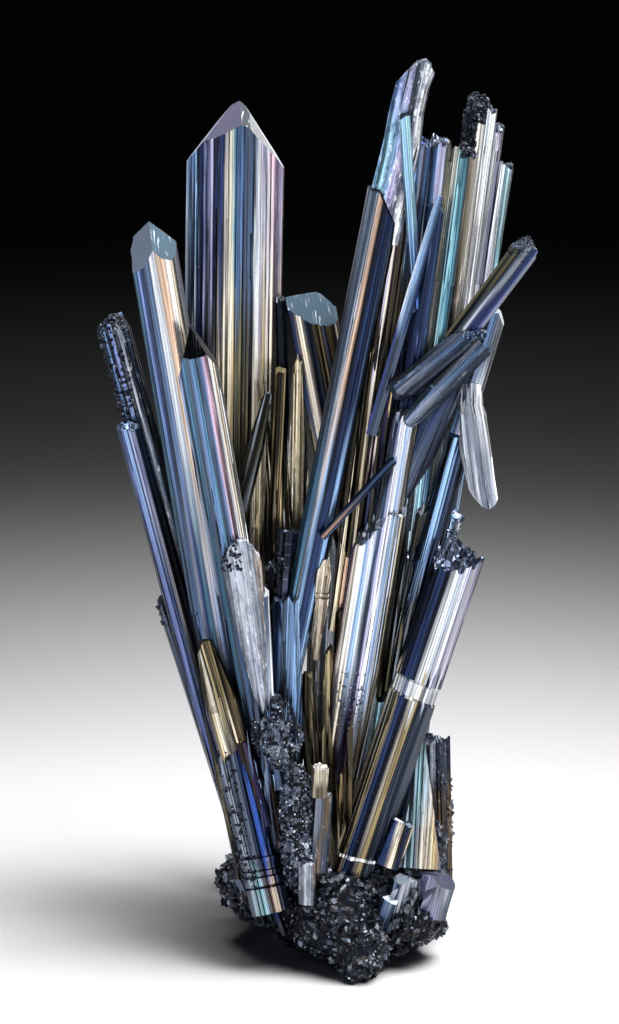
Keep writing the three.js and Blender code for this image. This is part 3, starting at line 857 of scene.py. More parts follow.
@dataclass
class Bend:
    """The centre line of a bent crystal, as shifts at its outline's rings."""

    rings: list[tuple[float, float, float]]

    @classmethod
    def of(cls, spots: list[Vector]) -> "Bend":
        """Finds the centre line through rings of vertices that share a height.

        Args:
            spots: The crystal's vertices as (across, back, along).

        Returns:
            The bend.
        """
        groups: list[list[Vector]] = []
        for spot in sorted(spots, key=lambda s: s.z):
            if not groups or spot.z - groups[-1][-1].z > RING_GAP:
                groups.append([])
            groups[-1].append(spot)
        widest = max(max(s.x for s in g) - min(s.x for s in g) for g in groups)
        rings = []
        for group in groups:
            xs, ys, zs = ([s[i] for s in group] for i in range(3))
            if max(xs) - min(xs) > WIDE_RING * widest:
                rings.append((sum(zs) / len(zs), (min(xs) + max(xs)) / 2, (min(ys) + max(ys)) / 2))
        return cls(sorted(rings))

    def shift(self, height: float) -> Vector:
        """How far the centre line is from straight.

        Args:
            height: A height along the crystal.

        Returns:
            The shift there.
        """
        for (z0, x0, y0), (z1, x1, y1) in zip(self.rings, self.rings[1:]):
            if height <= z1:
                share = max((height - z0) / (z1 - z0), -1.0)
                return Vector((x0 + (x1 - x0) * share, y0 + (y1 - y0) * share, 0.0))
        return Vector((self.rings[-1][1], self.rings[-1][2], 0.0))


@dataclass(frozen=True)
class Break:
    """A broken tip: steps and splinters that run back along the crystal."""

    depth: float
    splinter: tuple[float, float] = (0.9 * MM, 1.8 * MM)
    bowl: float = 0.0

    def loss(self, spot: Vector, size: Sequence[float], seed: int) -> float:
        """How much has broken off above a spot of the tip.

        Args:
            spot: The spot as (across, back, along).
            size: The crystal's size in the same order.
            seed: The crystal's seed.

        Returns:
            A length along the crystal.
        """
        cell = Vector((spot.x / self.splinter[0], spot.y / self.splinter[1], seed * 0.13))
        steps = noise.cell(cell)
        jags = abs(noise.noise(cell * 1.9))
        reach = min(1.0, math.hypot(spot.x / size[0], spot.y / size[1]) * 2)
        return self.depth * (0.6 * steps + 0.8 * jags) + self.bowl * (1 - reach * reach)


@dataclass(frozen=True)
class Seam:
    """A healed crack (bright, standing in) or an open one (standing in, painted dark as shade in the crack)
    across a crystal.
    """

    place: float
    width: float
    depth: float
    tone: float
    tilt: float = 0.0


@dataclass(frozen=True)
class Crust:
    """Grains grown over part of a crystal."""

    name: str
    count: int
    grain: tuple[float, float]
    across: tuple[float, float] = (0.0, 1.0)
    along: tuple[float, float] = (0.0, 1.0)
    finish: GranularRock = CRUST_GRAINS
    slot: str = "frosted_stibnite"


@dataclass
class Crystal:
    """One ridged crystal, or a group grown together, made from its CAD solid.

    strip is the usual width of a ridge line, broad the share of lines that are much broader,
    relief how far the ridges stand out, and rings how many cuts go round the crystal. The fields
    without a starting value, the walls and the ends are found out as it is built: walls holds the
    outward direction at each vertex of a side, and ends the normals of the end faces that it is in.
    """

    node: str
    finish: Tarnish
    strip: float = 0.47 * MM
    relief: float = 0.24 * MM
    broad: float = 0.16
    rings: int = 5
    bent: bool = False
    broken: Break | None = None
    seams: tuple[Seam, ...] = ()
    crusts: tuple[Crust, ...] = ()
    seed: int = field(init=False)
    dice: random.Random = field(init=False)
    axes: Axes = field(init=False)
    bend: Bend | None = field(init=False)
    low: list[float] = field(init=False)
    size: list[float] = field(init=False)
    cuts: list[list[float]] = field(init=False)
    walls: dict[int, Vector] = field(init=False, default_factory=dict)
    ends: dict[int, list[Vector]] = field(init=False, default_factory=dict)
    slopes: list[float] = field(init=False)

    def build(self) -> list[bpy.types.Object]:
        """Builds and dresses the crystal and what has grown on it.

        Returns:
            The finished pieces.
        """
        self.seed = sum(ord(letter) * (i + 3) for i, letter in enumerate(self.node))
        self.dice = random.Random(self.seed)
        piece = solid_copy(self.node, self.node + "_surface")
        self.axes = Axes.of(piece.data)
        spots = [self.axes.local(v.co) for v in piece.data.vertices]
        self.bend = Bend.of(spots) if self.bent else None
        if self.bend:
            spots = [s - self.bend.shift(s.z) for s in spots]
            for vertex, spot in zip(piece.data.vertices, spots):
                vertex.co = self.axes.world(spot)
        self.low = [min(s[i] for s in spots) for i in range(3)]
        self.size = [max(s[i] for s in spots) - self.low[i] for i in range(3)]
        self.cuts = [self._cut_places(self.low[i], self.low[i] + self.size[i]) for i in (0, 1)]
        self._cut(piece)
        self._classify(piece.data)
        self._mark(piece.data)
        self._raise_ridges(piece.data)
        self._break_and_seam(piece.data)
        if self.bend:
            for vertex in piece.data.vertices:
                spot = self.axes.local(vertex.co)
                vertex.co = self.axes.world(spot + self.bend.shift(spot.z))
        piece.data.update()
        dress(piece, self.finish)
        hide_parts(self.node)
        return [piece, *(self._grow(crust, piece) for crust in self.crusts)]

    def _cut_places(self, low: float, high: float) -> list[float]:
        """Chooses where ridge lines run between two sides.

        Args:
            low: The lower side.
            high: The upper side.

        Returns:
            Unevenly spaced places, some narrow and some broad.
        """
        places = []
        at = low
        while True:
            width = self.strip * self.dice.uniform(0.45, 1.35)
            if self.dice.random() < self.broad:
                width *= self.dice.uniform(2.0, 4.0)
            at += width
            if at >= high - LAST_STRIP * self.strip:
                return places
            places.append(at)

    def _cut(self, piece: bpy.types.Object) -> None:
        """Cuts ridge lines along the crystal, and rings and seams round it.

        Args:
            piece: Not used; the cuts act on the selected, active object.
        """
        axes = self.axes
        rings = [
            (self.low[2] + self.size[2] * (i + self.dice.random()) / self.rings, axes.along)
            for i in range(self.rings)
        ]
        for seam in self.seams:
            slope = (axes.along + axes.across * seam.tilt).normalized()
            middle = self.low[2] + self.size[2] * seam.place
            rings += [(middle + side * seam.width / 2, slope) for side in (-1.15, -0.85, 0.85, 1.15)]
        bpy.ops.object.mode_set(mode="EDIT")
        for direction, places in ((axes.across, self.cuts[0]), (axes.back, self.cuts[1])):
            for place in places:
                bpy.ops.mesh.select_all(action="SELECT")
                bpy.ops.mesh.bisect(plane_co=axes.origin + direction * place, plane_no=direction)
        for place, direction in rings:
            bpy.ops.mesh.select_all(action="SELECT")
            bpy.ops.mesh.bisect(plane_co=axes.origin + axes.along * place, plane_no=direction)
        bpy.ops.object.mode_set(mode="OBJECT")

    def _classify(self, mesh: bpy.types.Mesh) -> None:
        """Tells the side walls from the end faces.

        Args:
            mesh: The crystal's cut mesh, not yet ridged.
        """
        self.slopes = [face.normal.dot(self.axes.along) for face in mesh.polygons]
        for face, slope in zip(mesh.polygons, self.slopes):
            for i in face.vertices:
                if abs(slope) < END_SLOPE:
                    flat = (face.normal - self.axes.along * slope).normalized()
                    self.walls[i] = self.walls.get(i, Vector()) + flat * min(face.area, MOST_WEIGHT)
                elif all(face.normal.dot(other) < SAME_WAY for other in self.ends.get(i, [])):
                    self.ends.setdefault(i, []).append(face.normal.copy())

    def _raise_ridges(self, mesh: bpy.types.Mesh) -> None:
        """Moves the side walls in and out, and keeps the end faces flat.

        Args:
            mesh: The crystal's cut mesh.
        """
        moves = []
        for i, outward in self.walls.items():
            if outward.length < TINY or len(self.ends.get(i, [])) > 1:
                continue
            outward = outward.normalized()
            move = outward * self._ridge(self.axes.local(mesh.vertices[i].co), outward)
            if i in self.ends:
                normal = self.ends[i][0]
                slide = -normal.dot(move) / normal.dot(self.axes.along)
                move += self.axes.along * max(-SLIDE, min(SLIDE, slide))
            moves.append((i, move))
        for i, move in moves:
            mesh.vertices[i].co += move

    def _ridge(self, spot: Vector, outward: Vector) -> float:
        """How far the wall stands out at a place.

        Args:
            spot: The place as (across, back, along).
            outward: The wall's outward direction.

        Returns:
            A distance, negative for a groove.
        """
        depth, width = outward.dot(self.axes.back), outward.dot(self.axes.across)
        front = abs(depth) > abs(width)
        side = spot.x if front else spot.y
        turn = (11.0 if (depth if front else width) > 0 else 22.0) + 5.0 * front
        drift = spot.z * 5.0
        coarse = noise.noise(Vector((side / BROAD_FOLD, turn + drift * 0.5, self.seed * 0.37)))
        fine = noise.noise(Vector((side / FINE_RIDGE, turn - drift, self.seed * 0.71)))
        return self.relief * (1.2 * coarse + 1.5 * fine - 0.35)

    def _break_and_seam(self, mesh: bpy.types.Mesh) -> None:
        """Breaks the tip back and sets the seams in.

        Args:
            mesh: The ridged mesh.
        """
        along = self.axes.along
        if self.broken:
            for i, normals in self.ends.items():
                if normals[0].dot(along) > 0:
                    spot = self.axes.local(mesh.vertices[i].co)
                    mesh.vertices[i].co -= along * self.broken.loss(spot, self.size, self.seed)
        for seam in self.seams:
            middle = self.low[2] + self.size[2] * seam.place
            for i, outward in self.walls.items():
                spot = self.axes.local(mesh.vertices[i].co)
                if abs(spot.z + spot.x * seam.tilt - middle) < seam.width / 2:
                    mesh.vertices[i].co -= outward.normalized() * seam.depth

    def _mark(self, mesh: bpy.types.Mesh) -> None:
        """Leaves on the mesh what the finish reads: strips, end faces, places and the grain UV.

        Args:
            mesh: The crystal's cut mesh, not yet ridged.
        """
        strip = mesh.attributes.new("strip", "FLOAT", "FACE")
        facet = mesh.attributes.new("facet", "FLOAT", "FACE")
        seam_tone = mesh.attributes.new("seam", "FLOAT", "FACE")
        across = mesh.attributes.new("across", "FLOAT", "POINT")
        along = mesh.attributes.new("along", "FLOAT", "POINT")
        grain = mesh.uv_layers.new(name="grain")
        spots = [self.axes.local(v.co) for v in mesh.vertices]
        for i, spot in enumerate(spots):
            across.data[i].value = (spot.x - self.low[0]) / self.size[0]
            along.data[i].value = (spot.z - self.low[2]) / self.size[2]
        for face, slope in zip(mesh.polygons, self.slopes):
            end = abs(slope) > END_SLOPE
            depth, width = face.normal.dot(self.axes.back), face.normal.dot(self.axes.across)
            front = abs(depth) > abs(width)
            centre = self.axes.local(face.center)
            places, at = (self.cuts[0], centre.x) if front else (self.cuts[1], centre.y)
            key = self.seed * 1009 + sum(place < at for place in places) * 31 + 7 * front + 3 * (depth > 0)
            strip.data[face.index].value = random.Random(key + face.index * end).random()
            # An unbroken end face's strip is its facing direction, so the facet ramp paints it lit or shaded.
            if end and not self.broken:
                strip.data[face.index].value = 0.5 + math.atan2(width, -depth) / math.pi
            facet.data[face.index].value = float(end)
            for seam in self.seams:
                middle = self.low[2] + self.size[2] * seam.place
                if not end and abs(centre.z + centre.x * seam.tilt - middle) < seam.width / 2:
                    seam_tone.data[face.index].value = seam.tone * random.Random(key + 5).uniform(0.4, 1.0)
            for loop, vertex in zip(face.loop_indices, face.vertices):
                spot = spots[vertex]
                u = spot.x if front or end else spot.y + 0.05
                grain.data[loop].uv = (u + 0.1 * (depth > 0), spot.y if end else spot.z)

    def _grow(self, crust: Crust, piece: bpy.types.Object) -> bpy.types.Object:
        """Grows a crust of grains on the crystal.

        Args:
            crust: The crust.
            piece: The finished crystal.

        Returns:
            The dressed crust.
        """

        def covers(place: Vector) -> bool:
            """Whether the crust reaches a place.

            Args:
                place: The place.

            Returns:
                True inside the crust's share of the crystal.
            """
            spot = self.axes.local(place)
            x = (spot.x - self.low[0]) / self.size[0]
            z = (spot.z - self.low[2]) / self.size[2]
            return crust.across[0] <= x <= crust.across[1] and crust.along[0] <= z <= crust.along[1]

        shards = grains_on(piece.data, piece.data.polygons, crust.count, crust.grain, self.dice, covers)
        return dress(shard_mesh(crust.name, shards), crust.finish)


# ---- Grains, splinters, druse and matrix ----


@dataclass(frozen=True)
class Shard:
    """One small crystal: where it stands, how big it is and how light."""

    root: Vector
    axis: Vector
    width: float
    length: float
    roll: float
    tone: float
    kind: int
    place: float = 0.5


@dataclass(frozen=True)
class ShardShape:
    """The modelled shape that small crystals are copied from."""

    points: tuple[Vector, ...]
    faces: tuple[tuple[int, ...], ...]
    ends: tuple[bool, ...]

    @classmethod
    def model(cls, sides: int, slopes: Sequence[tuple[float, float]]) -> "ShardShape":
        """Models a prism one unit wide and high, with its top cut by slanted facets.

        Args:
            sides: Sides of the prism.
            slopes: The facets' normals in x and y, for a z of 1.

        Returns:
            The shape.
        """
        bpy.ops.object.select_all(action="DESELECT")
        bpy.ops.mesh.primitive_cylinder_add(vertices=sides, radius=0.5, depth=1.4, location=(0, 0, 0.7))
        master = bpy.context.active_object
        bpy.ops.object.transform_apply(location=True)
        bpy.ops.object.mode_set(mode="EDIT")
        for x, y in slopes:
            bpy.ops.mesh.select_all(action="SELECT")
            normal = Vector((x, y, 1.0)).normalized()
            bpy.ops.mesh.bisect(plane_co=(0, 0, 1), plane_no=normal, use_fill=True, clear_outer=True)
        bpy.ops.object.mode_set(mode="OBJECT")
        mesh = master.data
        shape = cls(
            tuple(v.co.copy() for v in mesh.vertices),
            tuple(tuple(p.vertices) for p in mesh.polygons),
            tuple(p.normal.z > TOP_SLOPE for p in mesh.polygons),
        )
        bpy.data.objects.remove(master)
        return shape


SHARD_SHAPES = (
    ShardShape.model(5, ((0.9, 0.2), (-0.6, 0.5))),
    ShardShape.model(6, ((0.3, 0.7), (-0.2, -1.1))),
    ShardShape.model(4, ((0.5, 0.1), (-0.9, -0.6), (0.2, 1.0))),
)


def shard_mesh(name: str, shards: Sequence[Shard]) -> bpy.types.Object:
    """Joins copies of the shard shapes into one piece, with the marks that the finishes read.

    Args:
        name: The piece's name.
        shards: The shards.

    Returns:
        The piece.
    """
    points, faces, tones, ends, places, heights, grain = [], [], [], [], [], [], []
    for shard in shards:
        shape = SHARD_SHAPES[shard.kind]
        turn = shard.axis.to_track_quat("Z", "Y").to_matrix() @ Matrix.Rotation(shard.roll, 3, "Z")
        first = len(points)
        for p in shape.points:
            scaled = Vector((p.x * shard.width, p.y * shard.width * 0.8, p.z * shard.length))
            points.append(shard.root + turn @ scaled)
            places.append(shard.place)
            heights.append(max(0.0, min(1.0, p.z)))
        for index, (face, end) in enumerate(zip(shape.faces, shape.ends)):
            faces.append([first + i for i in face])
            contrast = 0.37 if end or shard.length > 3 * shard.width else 0.06
            tones.append((shard.tone + contrast * index) % 1.0)
            ends.append(float(end))
            for i in face:
                p = shape.points[i]
                u = p.x if index % 2 else p.y
                grain.append((shard.root.x + u * shard.width + index * 0.01, p.z * shard.length))
    mesh = bpy.data.meshes.new(name)
    mesh.from_pydata(points, [], faces)
    for label, domain, values in (
        ("strip", "FACE", tones), ("facet", "FACE", ends),
        ("across", "POINT", places), ("along", "POINT", heights),
    ):
        mesh.attributes.new(label, "FLOAT", domain).data.foreach_set("value", values)
    layer = mesh.uv_layers.new(name="grain")
    layer.data.foreach_set("uv", [value for pair in grain for value in pair])
    piece = bpy.data.objects.new(name, mesh)
    bpy.context.scene.collection.objects.link(piece)
    return piece


def grains_on(
    mesh: bpy.types.Mesh,
    faces: Sequence[bpy.types.MeshPolygon],
    count: int,
    size: tuple[float, float],
    dice: random.Random,
    covers: Callable[[Vector], bool] = lambda place: True,
) -> list[Shard]:
    """Scatters grains over faces, half sunk in and pointing out at random slants.

    Args:
        mesh: The mesh that they stand on.
        faces: The faces to cover.
        count: How many.
        size: Smallest and largest width.
        dice: Source of random numbers.
        covers: Whether grains may stand at a place.

    Returns:
        The grains.
    """
    areas = list(itertools.accumulate(face.area for face in faces))
    grains = []
    for _ in range(count * MOST_TRIES):
        face = dice.choices(faces, cum_weights=areas)[0]
        corners = [mesh.vertices[i].co for i in face.vertices]
        start = dice.randrange(len(corners))
        a, b, c = corners[0], corners[start], corners[(start + 1) % len(corners)]
        r, s = sorted((dice.random(), dice.random()))
        at = a * r + b * (s - r) + c * (1 - s)
        if not covers(at):
            continue
        slant = Vector([dice.gauss(0, SLANT) for _ in range(3)])
        axis = (face.normal + slant).normalized()
        width = size[0] + (size[1] - size[0]) * dice.random() ** SMALL_BIAS
        length = width * dice.uniform(0.7, 1.5)
        root = at - axis * length * SUNK
        roll, tone, kind = dice.uniform(0, 6.28), dice.random(), dice.randrange(len(SHARD_SHAPES))
        grains.append(Shard(root, axis, width, length, roll, tone, kind))
        if len(grains) == count:
            break
    return grains


@dataclass
class SplinterBundle:
    """A sheaf of thin crystals that fills a gap between larger ones.

    foot, tip, width and spread are in millimetres, and shortest is a share of the full length.
    """

    name: str
    foot: Place
    tip: Place
    count: int
    finish: Tarnish
    width: tuple[float, float] = (0.7, 1.8)
    spread: tuple[float, float] = (4.0, 6.0)
    shortest: float = 0.35
    slot: str = "navy_stibnite"

    def build(self) -> list[bpy.types.Object]:
        """Builds and dresses the sheaf.

        Returns:
            The finished piece.
        """
        dice = random.Random(len(self.name) * 131 + self.count)
        foot, tip = Vector(self.foot) * MM, Vector(self.tip) * MM
        shards = []
        for _ in range(self.count):
            side = dice.uniform(-1, 1)
            start = foot + Vector((side, dice.uniform(-1, 1), dice.uniform(-1, 1))) * self.spread[0] * MM
            lean = Vector((side + dice.gauss(0, 0.25), dice.uniform(-1, 1) * 0.6, 0)) * self.spread[1] * MM
            run = tip + lean - start
            length = run.length * dice.uniform(self.shortest, 1.0)
            width = dice.uniform(*self.width) * MM
            tone, kind = dice.random(), dice.randrange(len(SHARD_SHAPES))
            place = min(1.0, max(0.0, 0.5 + side / 2))
            roll = dice.uniform(0, 3)
            shards.append(Shard(start, run.normalized(), width, length, roll, tone, kind, place))
        return [dress(shard_mesh(self.name, shards), self.finish)]


@dataclass
class GranularMass:
    """A mass of grains made from a lumpy CAD solid."""

    node: str
    finish: GranularRock
    count: int
    grain: tuple[float, float]
    voxel: float = 1.1 * MM
    relief: float = 1.6 * MM

    def build(self) -> list[bpy.types.Object]:
        """Builds and dresses the mass and the grains that stand on it.

        Returns:
            The finished pieces.
        """
        piece = solid_copy(self.node, self.node + "_body")
        remesh = piece.modifiers.new("even", "REMESH")
        remesh.mode = "VOXEL"
        remesh.voxel_size = self.voxel
        bpy.ops.object.modifier_apply(modifier=remesh.name)
        for label, kind, size, strength in (
            ("lumps", "CLOUDS", 6.0 * MM, self.relief),
            ("blocks", "VORONOI", 2.6 * MM, self.relief * 0.9),
        ):
            texture = bpy.data.textures.new(f"{self.node}_{label}", kind)
            texture.noise_scale = size
            displace = piece.modifiers.new(label, "DISPLACE")
            displace.texture = texture
            displace.texture_coords = "GLOBAL"
            displace.strength = strength
            displace.mid_level = 0.55
            bpy.ops.object.modifier_apply(modifier=displace.name)
        mesh = piece.data
        tone = mesh.attributes.new("strip", "FLOAT", "FACE")
        for face in mesh.polygons:
            tone.data[face.index].value = noise.cell(face.center / (1.4 * MM)) * 0.7
        dice = random.Random(self.count)
        floor = CAD_BOX[0].z
        open_faces = [f for f in mesh.polygons if f.center.z > floor + FOOT_CLEAR]
        grains = grains_on(mesh, open_faces, self.count, self.grain, dice)
        cover = shard_mesh(self.node + "_grains", grains)
        for part in (piece, cover):
            for vertex in part.data.vertices:
                vertex.co.z = max(vertex.co.z, floor)
            dress(part, self.finish)
        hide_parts(self.node)
        return [piece, cover]


# ---- Studio ----


MIDDLE = (0.0, 0.0, 0.14)  # what the large softboxes face


@dataclass(frozen=True)
class Softbox:
    """One rectangular studio light."""

    name: str
    place: Place
    aim: Place
    size: tuple[float, float]
    power: float
    colour: RGB = (1.0, 1.0, 1.0)
    spread: float = 180.0
    on_floor: bool = False

    def build(self, floor: bpy.types.Object) -> None:
        """Adds the light to the scene.

        Args:
            floor: The floor, which only some of the softboxes light.
        """
        light = bpy.data.lights.new(self.name, "AREA")
        light.shape = "RECTANGLE"
        light.size, light.size_y = self.size
        light.energy = self.power
        light.color = self.colour
        light.spread = math.radians(self.spread)
        holder = bpy.data.objects.new(self.name, light)
        bpy.context.scene.collection.objects.link(holder)
        holder.visible_camera = False
        if not self.on_floor:
            holder.light_linking.receiver_collection = bpy.data.collections.new(f"{self.name}_receivers")
            spared = holder.light_linking.receiver_collection
            spared.objects.link(floor)
            spared.collection_objects[0].light_linking.link_state = "EXCLUDE"
        holder.location = self.place
        holder.rotation_euler = (Vector(self.aim) - Vector(self.place)).to_track_quat("-Z", "Y").to_euler()


@dataclass
class Studio:
    """A pale floor, soft lights and the camera."""

    floor_size: float = 9.0
    focal: float = 100.0
    distance: float = 0.768
    elevation: float = 16.0
    target: Place = (-1.5 * MM, -2.3 * MM, 119.5 * MM)
    softboxes: tuple[Softbox, ...] = (
        Softbox("key", (0.30, -0.03, 0.66), (0.02, -0.07, 0.02), (0.4, 0.4), 1.28, spread=56, on_floor=True),
        Softbox("wash", (0.0, 0.07, 0.80), (0.0, 0.03, 0.0), (0.3, 0.3), 0.28, spread=60, on_floor=True),
        Softbox("haze", (0.0, 0.10, 0.80), (0.0, 0.10, 0.0), (0.3, 0.3), 0.23, spread=96, on_floor=True),
        Softbox("fill", (-0.27, -0.01, 0.6), (-0.25, -0.02, 0), (0.2, 0.2), 0.17, spread=36, on_floor=True),
        Softbox("table", (0.0, -0.62, 0.012), (0.0, -0.62, 1.0), (1.6, 0.8), 9.5, (0.93, 0.96, 1.0)),
        Softbox("front", (0.0, -1.05, 0.42), MIDDLE, (1.2, 0.9), 7.5, (0.93, 0.96, 1.0)),
        Softbox("left", (-1.00, -0.30, 0.42), MIDDLE, (1.2, 0.9), 6.0, (0.76, 0.87, 1.0)),
        Softbox("right", (1.00, -0.30, 0.42), MIDDLE, (1.2, 0.9), 9.0, (1.0, 0.97, 0.94)),
        Softbox("rear", (0.0, 1.00, 0.42), MIDDLE, (1.6, 0.9), 4.0, (0.90, 0.95, 1.0)),
    )

    def build(self) -> None:
        """Builds floor, world, lights and camera."""
        floor = self._floor()
        self._world()
        for softbox in self.softboxes:
            softbox.build(floor)
        self._camera()
        bpy.context.scene.view_settings.view_transform = "Standard"

    def _floor(self) -> bpy.types.Object:
        """Adds the floor under the spray.

        Returns:
            The floor.
        """
        bpy.ops.object.select_all(action="DESELECT")
        bpy.ops.mesh.primitive_plane_add(size=self.floor_size, location=(0.0, 0.0, CAD_BOX[0].z))
        floor = bpy.context.active_object
        floor.name = "floor"
        shader = Shader("floor_paint")
        place = shader.node("ShaderNodeTexCoord", {}, {}, "Object")
        mottle = shader.noise(place, 30.0, 3.0)
        floor.data.materials.append(
            shader.surface(Base_Color=(0.70, 0.70, 0.71, 1.0), Roughness=0.55 + mottle * 0.1)
        )
        return floor

    def _world(self) -> None:
        """Sets a dim even surround."""
        world = bpy.data.worlds.new("surround")
        world.use_nodes = True
        background = world.node_tree.nodes["Background"]
        background.inputs["Color"].default_value = (0.55, 0.62, 0.75, 1.0)
        background.inputs["Strength"].default_value = 0.002
        bpy.context.scene.world = world

    def _camera(self) -> None:
        """Adds the camera in front of the spray, looking slightly down."""
        camera = bpy.data.cameras.new("camera")
        camera.lens = self.focal
        camera.sensor_width = 36.0
        holder = bpy.data.objects.new("camera", camera)
        bpy.context.scene.collection.objects.link(holder)
        tilt = math.radians(self.elevation)
        ahead = Vector((0.0, math.cos(tilt), -math.sin(tilt)))
        holder.location = Vector(self.target) - ahead * self.distance
        holder.rotation_euler = ahead.to_track_quat("-Z", "Y").to_euler()
        camera.clip_start = 0.01
        camera.clip_end = 50.0
        bpy.context.scene.camera = holder


# ---- The spray ----

JAGGED = Break(1.6 * MM)
SPLINTERED = Break(2.6 * MM, (0.6 * MM, 1.6 * MM))
ROUGH = Break(0.7 * MM, (0.8 * MM, 0.9 * MM))
HOLLOWED = Break(1.5 * MM, (1.6 * MM, 1.6 * MM), 3 * MM)

